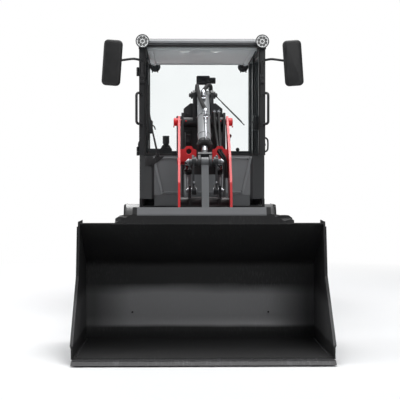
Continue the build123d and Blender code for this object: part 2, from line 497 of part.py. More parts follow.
hood = hood - box(-GRILLE_HALF_W, GRILLE_HALF_W, HOOD_Y1 - 40, HOOD_Y1 + 60, GRILLE_Z0, GRILLE_Z1)
# flat panels with fine seams: sides, top, bevel strips, slanted tail edge, tail
side_x, slope_y, tail_z = HOOD_HALF_W - HOOD_T, HOOD_Y1 - 62, HOOD_TAIL_Z - 60
flat_x = HOOD_HALF_W - HOOD_BEVEL
far_y, far_z = HOOD_Y1 + 60, HOOD_Z1 + 10
side_panel = hood & box(side_x, HOOD_HALF_W + 1, HOOD_Y0 - 1, far_y, HOOD_Z0 - 1, far_z)
bevel_strip = hood & box(flat_x + FIT, side_x - FIT, HOOD_Y0 - 1, slope_y, HOOD_TAIL_Z - 90, far_z)
top_panel = hood & box(-flat_x, flat_x, HOOD_Y0 - 1, slope_y, HOOD_TAIL_Z - 90, far_z)
tail_edge = hood & box(-side_x + FIT, side_x - FIT, slope_y + FIT, far_y, tail_z, far_z)
tail_panel = hood & box(-side_x + FIT, side_x - FIT, slope_y + FIT, far_y, HOOD_Z0 - 1, tail_z - FIT)


def tail_y(z):
    """Outer face of the hood's tail at a height."""
    return HOOD_Y1 + 25 - 15 * (z - HOOD_Z0) / (HOOD_TAIL_Z - 60 - HOOD_Z0)


low_z, high_z = GRILLE_Z0 - 20, GRILLE_Z1 + 10
inner = HOOD_T + FIT
grille = plate_x([(tail_y(low_z) - inner - 8, low_z), (tail_y(low_z) - inner, low_z),
                  (tail_y(high_z) - inner, high_z), (tail_y(high_z) - inner - 8, high_z)],
                 -GRILLE_HALF_W - 20, GRILLE_HALF_W + 20)
SLAT_PITCH = 21.0
for k in range(8):
    slat_z = GRILLE_Z0 + 8 + k * SLAT_PITCH
    grille = grille + box(-GRILLE_HALF_W + 4, GRILLE_HALF_W - 4, tail_y(slat_z) - 15, tail_y(slat_z) - 2,
                          slat_z, slat_z + 8)
HINGE_Z = HOOD_Z1 + 12
HOOD_PIN_Y, HOOD_PIN_Z, HOOD_PIN_R = HOOD_Y0 - 12, HINGE_Z - 6, 8.0
hood_post = fuse(bar_x(HOOD_PIN_Y, HOOD_PIN_Z, HOOD_PIN_R, 300, 339),
                 box(300, 339, CAB_REAR_Y + FIT, HOOD_PIN_Y, HINGE_Z - 12, HINGE_Z))
hood_leaf = fuse(bar_x(HOOD_PIN_Y, HOOD_PIN_Z, HOOD_PIN_R, 339 + FIT, 380),
                 box(339 + FIT, 380, HOOD_PIN_Y, HOOD_Y0 + 40, HOOD_Z1 + FIT, HINGE_Z))
save("hood", *pair(side_panel), *pair(bevel_strip), top_panel, tail_edge, tail_panel, grille,
     *pair(hood_leaf))
save("hood_hinge", *pair(hood_post))

# ---------------------------------------------------------------- cab
W = CAB_HALF_W
room_half_w = W - PILLAR - FIT
seat_riser = box(-room_half_w, room_half_w, B_PILLAR_Y + 10, CAB_REAR_Y - PILLAR - FIT, FLOOR_TOP,
                 SEAT_BASE_Z)
save("cab_floor", box(-W, W, CAB_FRONT_Y + 60, CAB_REAR_Y, FLOOR_Z, FLOOR_TOP) + seat_riser)

# frame: posts between the floor and the rails, with walls low down
fy0, fy1 = CAB_FRONT_Y, CAB_REAR_Y
floor_seat = FLOOR_TOP + FIT
RAIL_H = 28.0
REAR_WALL_Z, SIDE_WALL_Z = 1440.0, 1330.0
rail_z = ROOF_UNDER - RAIL_H
post_x = W - PILLAR
posts, rails, walls = [], [], []
for post_y, post_z in [(fy0, SILL_Z + FIT), (B_PILLAR_Y, floor_seat), (fy1 - PILLAR, floor_seat)]:
    posts += pair(box(post_x, W, post_y, post_y + PILLAR, post_z, rail_z - FIT))
rails += pair(box(post_x, W, fy0, fy1, rail_z, ROOF_UNDER))
for rail_y in (fy0, fy1 - PILLAR):
    rails.append(box(-post_x + FIT, post_x - FIT, rail_y, rail_y + PILLAR, rail_z, ROOF_UNDER))
walls += pair(box(post_x, W, B_PILLAR_Y + PILLAR + FIT, fy1 - PILLAR - FIT, floor_seat, SIDE_WALL_Z))
walls.append(box(-post_x + FIT, post_x - FIT, fy1 - PILLAR, fy1, floor_seat, REAR_WALL_Z))
CORNER_W = 107.0               # width of each slanted corner
corner_in = W - CORNER_W
# slanted corner walls below the windscreen, one each side
corner_wall = plate_z([(corner_in - 20, fy0), (corner_in + 2, fy0), (W, fy0 + 90), (W, fy0 + 60 + PILLAR),
                       (W - 20, fy0 + 60 + PILLAR), (W - 22, fy0 + 98), (corner_in - 20, fy0 + 22)],
                      floor_seat + 60, SILL_Z)
foot_wall = box(W - 22, W, fy0 + 61, fy0 + 60 + PILLAR, floor_seat, floor_seat + 61)
walls += pair(fuse(corner_wall, foot_wall))
save("cab_posts", *posts)
save("cab_rails", *rails)
save("cab_walls", *walls)
# front panel: a trapezoid face that leans back to the floor
panel = plate_x([(fy0, SILL_Z - 30), (fy0, 1030), (fy0 + 62, floor_seat), (fy0 + 82, floor_seat),
                 (fy0 + 22, 1036), (fy0 + 22, SILL_Z - 30)], -corner_in + 21, corner_in - 21)
save("front_panel", fuse(panel, box(-corner_in + 21, corner_in - 21, fy0, fy0 + 40, SILL_Z - 31, SILL_Z)))
roof = box(-W - 12, W + 12, fy0 - 25, fy1 + 25, ROOF_UNDER + FIT, ROOF_Z)
roof = chamfer([e for e in roof.edges() if e.center().Z > ROOF_Z - 1], 24)
save("roof", roof)
GLASS_HALF_W = W - PILLAR + 10
save("windshield", box(-GLASS_HALF_W, GLASS_HALF_W, fy0 - GLASS_T - FIT, fy0 - FIT,
                       SILL_Z + 2, ROOF_UNDER - 15))
save("rear_window", box(-GLASS_HALF_W, GLASS_HALF_W, fy1 + FIT, fy1 + FIT + GLASS_T,
                         REAR_WALL_Z - 15, ROOF_UNDER - 15))
side_pane = box(W - 12, W - 12 + GLASS_T, B_PILLAR_Y + PILLAR + FIT, fy1 - PILLAR - FIT,
                SIDE_WALL_Z + FIT, rail_z - FIT)
save("side_windows", *pair(side_pane))

# doors: frame round a pane; each fills the side between the posts
DOOR_GAP = 4.0
door_y0, door_y1 = fy0 + 60 + PILLAR + DOOR_GAP, B_PILLAR_Y - DOOR_GAP
door_z0, door_z1 = FLOOR_TOP + 8, rail_z - DOOR_GAP
DOOR_RAIL = 48.0
PANE_Z0 = 1190.0
door_x0, door_x1 = W - DOOR_T, W
upper_y0 = fy0 + PILLAR + DOOR_GAP
door_outline = [(door_y0, door_z0), (door_y1, door_z0), (door_y1, door_z1), (upper_y0, door_z1),
                (upper_y0, SILL_Z + 6), (door_y0, SILL_Z + 6)]
pane_outline = [(door_y0 + DOOR_RAIL, PANE_Z0), (door_y1 - DOOR_RAIL, PANE_Z0),
                (door_y1 - DOOR_RAIL, door_z1 - DOOR_RAIL),
                (upper_y0 + DOOR_RAIL, door_z1 - DOOR_RAIL), (upper_y0 + DOOR_RAIL, SILL_Z + 6 + DOOR_RAIL),
                (door_y0 + DOOR_RAIL, SILL_Z + 6 + DOOR_RAIL)]
door = plate_x(door_outline, door_x0, door_x1) - plate_x(pane_outline, door_x0 - 1, door_x1 + 1)
pane = plate_x(pane_outline, door_x0 + 12, door_x0 + 12 + GLASS_T)
in_rail = DOOR_RAIL + FIT
pane_top = door_z1 - in_rail
low_pane = pane & box(0, W, door_y0 + in_rail, door_y1 - in_rail, PANE_Z0 + FIT, pane_top)
pane = low_pane + (pane & box(0, W, upper_y0 + in_rail, door_y0 + in_rail, SILL_Z + 6 + in_rail, pane_top))
HINGE_R = 11.0
front_hinge_y, rear_hinge_y = upper_y0 - 14, B_PILLAR_Y + 14
hinge_x = W + HINGE_R + 2
hinges, leaves = {}, {}
for side_name, hinge_y, door_edge in [("right", front_hinge_y, upper_y0 + 40),
                                      ("left", rear_hinge_y, door_y1 - 40)]:
    y0, y1 = sorted((hinge_y, door_edge))
    barrels, straps = [], []
    for z in (1400.0, 2075.0):
        barrels.append(fuse(bar_z(hinge_x, hinge_y, HINGE_R, z - 36, z - 2),
                            box(W + FIT, hinge_x, hinge_y - 9, hinge_y + 9, z - 36, z - 2)))
        straps.append(fuse(bar_z(hinge_x, hinge_y, HINGE_R, z - 1, z + 36),
                           box(W + FIT, hinge_x + 4, y0, y1, z - 1, z + 36)))
    hinges[side_name] = barrels
    leaves[side_name] = straps
save("door_left", door, *leaves["left"])
save("door_left_glass", pane)
save("door_right", flip(door), *[flip(s) for s in leaves["right"]])
save("door_right_glass", flip(pane))
save("door_hinges", *hinges["left"], *[flip(s) for s in hinges["right"]])

# inside the cab
SEAT_Y = CAB_REAR_Y - 420
save("seat_base", box(-190, 190, SEAT_Y - 210, SEAT_Y + 190, SEAT_BASE_Z + FIT, SEAT_BASE_Z + 100))
cushion = box(-245, 245, SEAT_Y - 240, SEAT_Y + 215, SEAT_BASE_Z + 100 + FIT, SEAT_BASE_Z + 200)
save("seat_cushion", fillet(cushion.edges().filter_by(Axis.Z), 60))
seat_top = SEAT_BASE_Z + 200
back = Pos(0, SEAT_Y + 262, 1545) * Rot(-9, 0, 0) * Box(490, 85, 480)
save("seat_back", fillet(back.edges().filter_by(Axis.X), 25) - box(-300, 300, 0, 3000, 1000,
                                                                   seat_top + FIT))
column = rod((0, CAB_FRONT_Y + 125, FLOOR_TOP - 20), (0, CAB_FRONT_Y + 235, 1300), 42)
column = column & box(-300, 300, 0, 2000, FLOOR_TOP + FIT, 1400)
wheel_plane = Plane(origin=(0, CAB_FRONT_Y + 240, 1330), z_dir=(0, 0.32, 1))
wheel_ring = wheel_plane * Torus(185, 14)
hub_cap = rod((0, CAB_FRONT_Y + 228, 1280), (0, CAB_FRONT_Y + 243, 1334), 38)
spokes = [wheel_plane * Rot(0, 0, a) * Pos(95, 0, 0) * Box(190, 26, 12) for a in (90, 210, 330)]
save("steering_column", fuse(column, hub_cap, wheel_ring, *spokes))
console = box(-W + PILLAR + 6, -262, SEAT_Y - 330, SEAT_Y + 60, FLOOR_TOP + FIT, 1440)
console = console & box(-W, 0, 0, B_PILLAR_Y + 8, 0, 2000)
lever = fuse(bar_z(-315, SEAT_Y - 290, 14, 1440 + FIT, 1490), bar_z(-315, SEAT_Y - 290, 30, 1485, 1556))
save("console", console, lever)

# mirrors on tube arms
MIRROR_OUT = 842.0
MIRROR_W, MIRROR_H, MIRROR_T = 185.0, 390.0, 45.0
mirror_x, mirror_y, mirror_z = MIRROR_OUT - MIRROR_W / 2, CAB_FRONT_Y - 220, 2125.0
glass_box = box(mirror_x - MIRROR_W / 2, MIRROR_OUT, mirror_y, mirror_y + MIRROR_T, mirror_z - MIRROR_H / 2,
                mirror_z + MIRROR_H / 2)
mirror_case = fillet(glass_box.edges().filter_by(Axis.Y), 38)
save("mirrors", *pair(mirror_case))
tube_path = FilletPolyline((W - 30, fy0 - 24, 2010), (W - 30, fy0 - 24, 2165),
                           (W + 40, mirror_y + 75, 2165),
                           (mirror_x, mirror_y + MIRROR_T + 16, 2140),
                           (mirror_x, mirror_y + MIRROR_T + 16, 2050),
                           radius=[30, 55, 22])
tube = sweep(Plane(origin=(W - 30, fy0 - 24, 2010), z_dir=(0, 0, 1)) * Circle(10), path=tube_path)
clamp = box(W - 44, W - 10, fy0 - 44, fy0 - FIT, 1975, 2050)
boss = Pos(mirror_x, mirror_y + MIRROR_T + 16, 2095) * Box(40, 31, 60)
save("mirror_arms", *pair(fuse(tube, clamp, boss)))
LAMP_X, LAMP_Z, LAMP_R = 503.0, 2320.0, 57.5
lamp = Pos(LAMP_X, fy0 - 60, LAMP_Z) * Rot(90, 0, 0) * Cylinder(LAMP_R, 50)
lamp_foot = box(LAMP_X - 14, LAMP_X + 14, fy0 - 50, fy0 - 25.3, ROOF_UNDER + 4, LAMP_Z + 12)
save("front_work_lights", *pair(fuse(lamp, lamp_foot)))
back_lamp = Pos(430, fy1 + 60, 2268) * Rot(90, 0, 0) * Cylinder(52, 46)
save("rear_work_lights", *pair(fuse(back_lamp, box(418, 442, fy1 + 25.3, fy1 + 45, 2295, 2330))))
GRAB_Z0, GRAB_Z1 = 1630.0, 1890.0
grab_path = FilletPolyline((W - 26, fy0 - 10, GRAB_Z1), (W + 20, fy0 - 56, GRAB_Z1),
                           (W + 20, fy0 - 56, GRAB_Z0),
                           (W - 26, fy0 - 10, GRAB_Z0), radius=[24, 24])
grab = sweep(Plane(origin=(W - 26, fy0 - 10, GRAB_Z1), z_dir=(46, -46, 0)) * Circle(11), path=grab_path)
feet = [box(W - 42, W - 10, fy0 - 16, fy0 - FIT, z - 16, z + 16) for z in (GRAB_Z0, GRAB_Z1)]
save("grab_handles", *pair(fuse(grab, *feet)))
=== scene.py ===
"""Finished look of a compact articulated wheel loader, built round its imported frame."""
import json
import logging
import math
from dataclasses import dataclass
from enum import Enum
from typing import Callable, Iterable, Sequence

import bpy
from mathutils import Matrix, Vector


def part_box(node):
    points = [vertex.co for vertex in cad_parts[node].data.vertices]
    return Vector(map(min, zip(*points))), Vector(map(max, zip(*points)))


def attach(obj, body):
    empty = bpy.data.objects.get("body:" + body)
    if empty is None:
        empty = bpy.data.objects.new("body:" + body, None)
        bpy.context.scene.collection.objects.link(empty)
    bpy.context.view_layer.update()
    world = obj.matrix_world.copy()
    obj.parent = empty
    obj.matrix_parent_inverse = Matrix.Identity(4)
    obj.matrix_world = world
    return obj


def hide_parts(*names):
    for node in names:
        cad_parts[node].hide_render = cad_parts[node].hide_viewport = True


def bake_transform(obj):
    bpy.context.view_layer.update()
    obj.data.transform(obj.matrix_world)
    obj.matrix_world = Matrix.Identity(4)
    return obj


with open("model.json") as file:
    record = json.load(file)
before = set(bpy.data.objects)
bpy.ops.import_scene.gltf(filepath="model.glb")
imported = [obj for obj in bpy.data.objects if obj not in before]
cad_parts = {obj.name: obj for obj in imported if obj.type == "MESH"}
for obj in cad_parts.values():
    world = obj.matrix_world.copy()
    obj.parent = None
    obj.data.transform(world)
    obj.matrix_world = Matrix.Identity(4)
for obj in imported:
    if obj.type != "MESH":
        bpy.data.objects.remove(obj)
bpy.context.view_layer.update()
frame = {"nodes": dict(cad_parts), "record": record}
LOG = logging.getLogger("loader")

MERGE = 0.00002
Point = Sequence[float]
Colour = tuple[float, float, float]
NODES = frame["nodes"]
JOINTS = {joint["name"]: joint for joint in frame["record"]["behaviour"]["joints"]}


# --- shader maths
class Sock:
    """A value or colour socket that adds Math nodes when it is used in an expression."""

    def __init__(self, graph: "Graph", socket: bpy.types.NodeSocket) -> None:
        """Wrap one socket of a graph."""
        self.graph = graph
        self.socket = socket

    def _math(self, operation: str, first: object, second: object = None) -> "Sock":
        """Add a Math node of that operation."""
        values = {0: first} if second is None else {0: first, 1: second}
        return self.graph.node("Math", {"operation": operation}, values)

    def __add__(self, other: object) -> "Sock":
        """Sum."""
        return self._math("ADD", self, other)

    def __radd__(self, other: object) -> "Sock":
        """Sum, other first."""
        return self._math("ADD", other, self)

    def __sub__(self, other: object) -> "Sock":
        """Difference."""
        return self._math("SUBTRACT", self, other)

    def __rsub__(self, other: object) -> "Sock":
        """Difference, other first."""
        return self._math("SUBTRACT", other, self)

    def __mul__(self, other: object) -> "Sock":
        """Product."""
        return self._math("MULTIPLY", self, other)

    def __rmul__(self, other: object) -> "Sock":
        """Product, other first."""
        return self._math("MULTIPLY", other, self)

    def clamp(self) -> "Sock":
        """The value held between zero and one."""
        return self.graph.node("Clamp", {}, {"Value": self})


class Graph:
    """The node tree of one material or of the world."""

    def __init__(self, name: str, owner: bpy.types.World | None = None) -> None:
        """Start a material, or a world's light, with only its output."""
        self.material = owner or bpy.data.materials.new(name)
        self.material.use_nodes = True
        self.tree = self.material.node_tree
        self.tree.nodes.clear()
        self.output = self.tree.nodes.new("ShaderNodeOutputWorld" if owner else "ShaderNodeOutputMaterial")

    def node(self, kind: str, settings: dict | None = None, values: dict | None = None,
             out: int | str = 0) -> Sock:
        """Add a node.

        Args:
            kind: Node type, without its leading ShaderNode.
            settings: Attributes, set before the sockets.
            values: Numbers, colours or sockets for its inputs.
            out: Output to return.

        Returns:
            The chosen output.
        """
        made = self.tree.nodes.new(f"ShaderNode{kind}")
        for key, value in (settings or {}).items():
            setattr(made, key, value)
        for key, value in (values or {}).items():
            if isinstance(value, Sock):
                self.tree.links.new(value.socket, made.inputs[key])
            else:
                made.inputs[key].default_value = value
        return Sock(self, made.outputs[out])

    def place(self, scale: Point = (1.0, 1.0, 1.0)) -> Sock:
        """Object coordinates, in metres, stretched by a scale."""
        coords = self.node("TexCoord", out="Object")
        return self.node("Mapping", {}, {"Vector": coords, "Scale": scale})

    def noise(self, scale: float, detail: float = 4.0, stretch: Point = (1.0, 1.0, 1.0)) -> Sock:
        """Noise of a scale per metre."""
        return self.node("TexNoise", {}, {"Vector": self.place(stretch), "Scale": scale, "Detail": detail})

    def band(self, value: Sock, low: float, high: float) -> Sock:
        """The value spread so that low is zero and high is one."""
        return self.node("MapRange", {}, {"Value": value, "From Min": low, "From Max": high})

    def axis(self, name: str) -> Sock:
        """One coordinate of the surface point, in metres."""
        coords = self.node("TexCoord", out="Object")
        return self.node("SeparateXYZ", {}, {0: coords}, out=name)

    def mix(self, factor: Sock, first: object, second: object) -> Sock:
        """Blend of two colours."""
        return self.node("Mix", {"data_type": "RGBA"}, {"Factor": factor, 6: first, 7: second}, out=2)

    def bump(self, height: Sock, strength: float, distance: float) -> Sock:
        """Normal from a height field."""
        return self.node("Bump", {}, {"Height": height, "Strength": strength, "Distance": distance})

    def shader(self, **values: object) -> Sock:
        """Principled shader; underscores in the names stand for spaces."""
        named = {key.replace("_", " "): value for key, value in values.items()}
        return self.node("BsdfPrincipled", {}, named)

    def done(self, shader: Sock) -> bpy.types.Material:
        """Link the shader to the output and return the material."""
        self.tree.links.new(shader.socket, self.output.inputs["Surface"])
        return self.material


def rgba(red: float, green: float, blue: float) -> tuple[float, float, float, float]:
    """Opaque linear colour from sRGB numbers between 0 and 255."""
    def linear(value: float) -> float:
        """One channel, from sRGB to linear."""
        part = value / 255
        return part / 12.92 if part <= 0.04045 else ((part + 0.055) / 1.055) ** 2.4
    return linear(red), linear(green), linear(blue), 1.0


# --- finishes
@dataclass(frozen=True)
class Surface:
    """A finish whose shader a material is built from."""

    def shader(self, graph: Graph) -> Sock:
        """Shader of the surface."""
        return graph.shader()

    def build(self, name: str) -> bpy.types.Material:
        """Make the material under a name."""
        graph = Graph(name)
        return graph.done(self.shader(graph))


@dataclass(frozen=True)
class Paint(Surface):
    """Sprayed paint with a little dust, faint mottling and fine orange peel."""

    colour: Colour
    roughness: float = 0.38
    dust: float = 0.25
    peel: float = 0.06
    coat: float = 0.25

    def tone(self, graph: Graph) -> object:
        """Colour before dust."""
        return rgba(*self.colour)

    def shader(self, graph: Graph) -> Sock:
        """Shader of the surface."""
        base = rgba(*self.colour)
        pale = tuple(channel * 0.75 + 0.06 for channel in base[:3]) + (1.0,)
        cloud = graph.band(graph.noise(3.5, 6.0), 0.42, 0.78)
        fine = graph.band(graph.noise(38.0, 5.0), 0.5, 0.8)
        dust = (cloud * self.dust + fine * cloud * self.dust).clamp()
        low = (1.0 - graph.band(graph.axis("Z"), 0.0, 0.9)).clamp()
        dust = (dust * 0.55 + dust * low * 0.9).clamp()
        colour = graph.mix(dust, self.tone(graph), pale)
        rough = self.roughness + dust * 0.35 + fine * 0.06
        height = graph.noise(420.0, 2.0) + graph.noise(60.0, 3.0) * 0.4
        normal = graph.bump(height, self.peel, 0.0006)
        return graph.shader(Base_Color=colour, Roughness=rough, Normal=normal, Coat_Weight=self.coat,
                            Coat_Roughness=0.18)


@dataclass(frozen=True)
class PaintWithPaintedShade(Paint):
    """Sprayed paint whose middle, between two sides and below a height, is painted dark as shade."""

    # Painted shade: a dark colour that stands in for the shade on the red parts between the arm's plates.
    middle: Colour = (30, 31, 33)
    half_width: float = 0.187
    top: float = 1.2

    def tone(self, graph: Graph) -> Sock:
        """Colour before dust: the painted shade share of the middle is worked out from the place."""
        across = graph.axis("X")
        inside = graph.band(across, -self.half_width - 0.0005, -self.half_width + 0.0005)
        inside = inside - graph.band(across, self.half_width - 0.0005, self.half_width + 0.0005)
        below = 1.0 - graph.band(graph.axis("Z"), self.top - 0.001, self.top)
        # Painted shade replaces the red between the two sides and below the top height.
        return graph.mix((inside * below).clamp(), rgba(*self.colour), rgba(*self.middle))


@dataclass(frozen=True)
class RodAndYoke(Surface):
    """Chromed rod with a painted yoke below a height."""

    paint: Colour = (58, 59, 61)
    chrome: Colour = (150, 152, 156)
    split: float = 1.385

    def shader(self, graph: Graph) -> Sock:
        """Shader of the surface."""
        yoke = 1.0 - graph.band(graph.axis("Z"), self.split - 0.001, self.split + 0.001)
        film = graph.band(graph.noise(22.0, 5.0), 0.45, 0.75)
        shine = 1.0 - yoke
        rough = 0.2 + film * 0.16 + yoke * 0.22
        colour = graph.mix(yoke, rgba(*self.chrome), rgba(*self.paint))
        normal = graph.bump(graph.noise(420.0, 2.0), 0.05, 0.0004)
        return graph.shader(Base_Color=colour, Metallic=shine.clamp(), Roughness=rough, Normal=normal)


@dataclass(frozen=True)
class WornSteel(Surface):
    """Bare or thinly painted steel with scratches that run back from the edge."""

    colour: Colour
    shine: Colour
    wear: float = 0.5
    metallic: float = 0.6
    roughness: float = 0.5

    def shader(self, graph: Graph) -> Sock:
        """Shader of the surface."""
        streak = graph.band(graph.noise(26.0, 7.0, (5.0, 0.35, 1.0)), 0.5, 0.74)
        patch = graph.band(graph.noise(4.2, 5.0), 0.38, 0.7)
        mask = (streak * patch * self.wear).clamp()
        colour = graph.mix(mask, rgba(*self.colour), rgba(*self.shine))
        rough = self.roughness - mask * 0.1 + graph.noise(80.0, 3.0) * 0.1
        normal = graph.bump(graph.noise(90.0, 5.0, (4.0, 0.5, 1.0)), 0.18, 0.0012)
        return graph.shader(Base_Color=colour, Roughness=rough, Metallic=mask * self.metallic,
                            Normal=normal)


@dataclass(frozen=True)
class ScratchedShellWithPaintedHighlight(Surface):
    """Dark bucket paint with pale scratches, a painted highlight band low down on the back, and greyer on the
    top guard.
    """

    colour: Colour = (17, 17, 18)
    # Colour of the painted highlight band low on the bucket's back.
    highlight_colour: Colour = (128, 128, 129)
    guard: Colour = (104, 105, 107)
    guard_left: float = -0.475
    guard_right: float = 0.385
    band_low: float = 0.115
    band_high: float = 0.385
    guard_low: float = 0.912

    def shader(self, graph: Graph) -> Sock:
        """Shader of the surface."""
        height = graph.axis("Z")
        # Painted highlight: a pale band between these heights, strongest in the middle, stands in for the
        # reflection where the back curves forward.
        wander = graph.noise(3.0, 3.0, (0.35, 1.0, 1.0)) * 0.1 - 0.05
        rising = graph.band(height + wander * 0.4, self.band_low - 0.01, self.band_low + 0.012).clamp()
        fading = graph.band(height + wander, self.band_high - 0.045, self.band_high + 0.03).clamp()
        across = graph.axis("X")
        middle = graph.band(across, -0.8, -0.55).clamp() - graph.band(across, 0.45, 0.72).clamp()
        painted_highlight = ((rising - fading) * (middle * 0.75 + 0.25)).clamp()
        streak = graph.band(graph.noise(26.0, 7.0, (5.0, 0.35, 1.0)), 0.5, 0.74)
        patch = graph.band(graph.noise(4.2, 5.0), 0.38, 0.7)
        scratch = (streak * patch * 0.3).clamp()
        side = (graph.band(across, self.guard_left - 0.004, self.guard_left).clamp()
                - graph.band(across, self.guard_right, self.guard_right + 0.004).clamp())
        top = (graph.band(height, self.guard_low, self.guard_low + 0.004).clamp() * side).clamp()
        # Real scratches and the painted highlight band laid over the dark paint.
        scratched_and_highlit = graph.mix((painted_highlight * 0.8 + scratch * 0.4).clamp(), rgba(*self.colour), rgba(*self.highlight_colour))
        colour = graph.mix(top, scratched_and_highlit, rgba(*self.guard))
        rough = 0.62 - painted_highlight * 0.24 + graph.noise(80.0, 3.0) * 0.08
        normal = graph.bump(graph.noise(90.0, 5.0, (4.0, 0.5, 1.0)), 0.14, 0.001)
        return graph.shader(Base_Color=colour, Roughness=rough, Metallic=scratch * 0.4, Normal=normal)


@dataclass(frozen=True)
class Polished(Surface):
    """Ground or chromed metal with faint turned rings."""

    colour: Colour
    roughness: float = 0.16

    def shader(self, graph: Graph) -> Sock:
        """Shader of the surface."""
        film = graph.band(graph.noise(22.0, 5.0), 0.45, 0.75)
        rough = self.roughness + film * 0.16
        tone = tuple(channel * 0.72 for channel in rgba(*self.colour)[:3]) + (1.0,)
        colour = graph.mix(film * 0.5, rgba(*self.colour), tone)
        normal = graph.bump(graph.noise(500.0, 2.0), 0.05, 0.0003)
        return graph.shader(Base_Color=colour, Metallic=1.0, Roughness=rough, Normal=normal)


@dataclass(frozen=True)
class Rubber(Surface):
    """Black rubber, dusty in the low parts, with a fine moulded grain."""

    colour: Colour = (34, 34, 35)
    dust_colour: Colour = (96, 92, 86)
    dust: float = 0.45

    def shader(self, graph: Graph) -> Sock:
        """Shader of the surface."""
        cloud = graph.band(graph.noise(9.0, 6.0), 0.45, 0.8)
        grain = graph.noise(240.0, 3.0)
        mask = (cloud * self.dust + graph.band(grain, 0.55, 0.9) * cloud * 0.3).clamp()
        colour = graph.mix(mask, rgba(*self.colour), rgba(*self.dust_colour))
        normal = graph.bump(grain + graph.noise(40.0, 4.0) * 0.6, 0.3, 0.0012)
        return graph.shader(Base_Color=colour, Roughness=0.72 + mask * 0.2, Normal=normal)


@dataclass(frozen=True)
class Plastic(Surface):
    """Moulded plastic with a fine leather-like grain."""

    colour: Colour = (30, 30, 32)
    roughness: float = 0.5
    grain: float = 0.25

    def shader(self, graph: Graph) -> Sock:
        """Shader of the surface."""
        film = graph.band(graph.noise(14.0, 5.0), 0.45, 0.8)
        pale = tuple(channel + 0.03 for channel in rgba(*self.colour)[:3]) + (1.0,)
        cells = graph.node("TexVoronoi", {}, {"Vector": graph.place(), "Scale": 900.0})
        normal = graph.bump(cells, self.grain, 0.0004)
        return graph.shader(Base_Color=graph.mix(film * 0.4, rgba(*self.colour), pale),
                            Roughness=self.roughness + film * 0.15, Normal=normal)


@dataclass(frozen=True)
class Fabric(Surface):
    """Woven seat cloth with soft sheen and ribs."""

    colour: Colour = (64, 66, 70)
    thread: Colour = (98, 100, 106)

    def shader(self, graph: Graph) -> Sock:
        """Shader of the surface."""
        warp, weft = (graph.node("TexWave", {"bands_direction": way},
                                 {"Vector": graph.place(), "Scale": 160.0}, "Fac") for way in "XZ")
        weave = warp * 0.5 + weft * 0.5
        blotch = graph.band(graph.noise(12.0, 4.0), 0.4, 0.8)
        colour = graph.mix((weave * 0.6 + blotch * 0.2).clamp(), rgba(*self.colour), rgba(*self.thread))
        return graph.shader(Base_Color=colour, Roughness=0.88, Sheen_Weight=0.3,
                            Normal=graph.bump(weave, 0.35, 0.0008))


@dataclass(frozen=True)
class ClearPane(Surface):
    """Thin glass or clear plastic that mirrors more at a slant."""

    tint: Colour = (254, 255, 255)
    haze: float = 0.012
    mirror: float = 0.6

    def shader(self, graph: Graph) -> Sock:
        """Shader of the surface."""
        through = graph.node("BsdfTransparent", {}, {"Color": rgba(*self.tint)})
        film = graph.band(graph.noise(5.0, 5.0), 0.4, 0.8)
        glossy = graph.shader(Base_Color=rgba(210, 220, 222), Roughness=0.03 + film * 0.04, Metallic=1.0)
        facing = graph.node("LayerWeight", {}, {"Blend": 0.28}, out="Fresnel")
        factor = (facing * self.mirror + film * self.haze).clamp()
        return graph.node("MixShader", {}, {"Fac": factor, 1: through, 2: glossy})


@dataclass(frozen=True)
class Lit(Surface):
    """Coloured lens or lamp chip that glows faintly."""

    colour: Colour
    glow: float = 0.0
    roughness: float = 0.12

    def shader(self, graph: Graph) -> Sock:
        """Shader of the surface."""
        ribs = graph.node("TexVoronoi", {}, {"Vector": graph.place(), "Scale": 180.0})
        shade = tuple(channel * 0.7 for channel in rgba(*self.colour)[:3]) + (1.0,)
        colour = graph.mix(ribs, rgba(*self.colour), shade)
        return graph.shader(Base_Color=colour, Roughness=self.roughness, Emission_Color=colour,
                            Emission_Strength=self.glow, Normal=graph.bump(ribs, 0.3, 0.001))


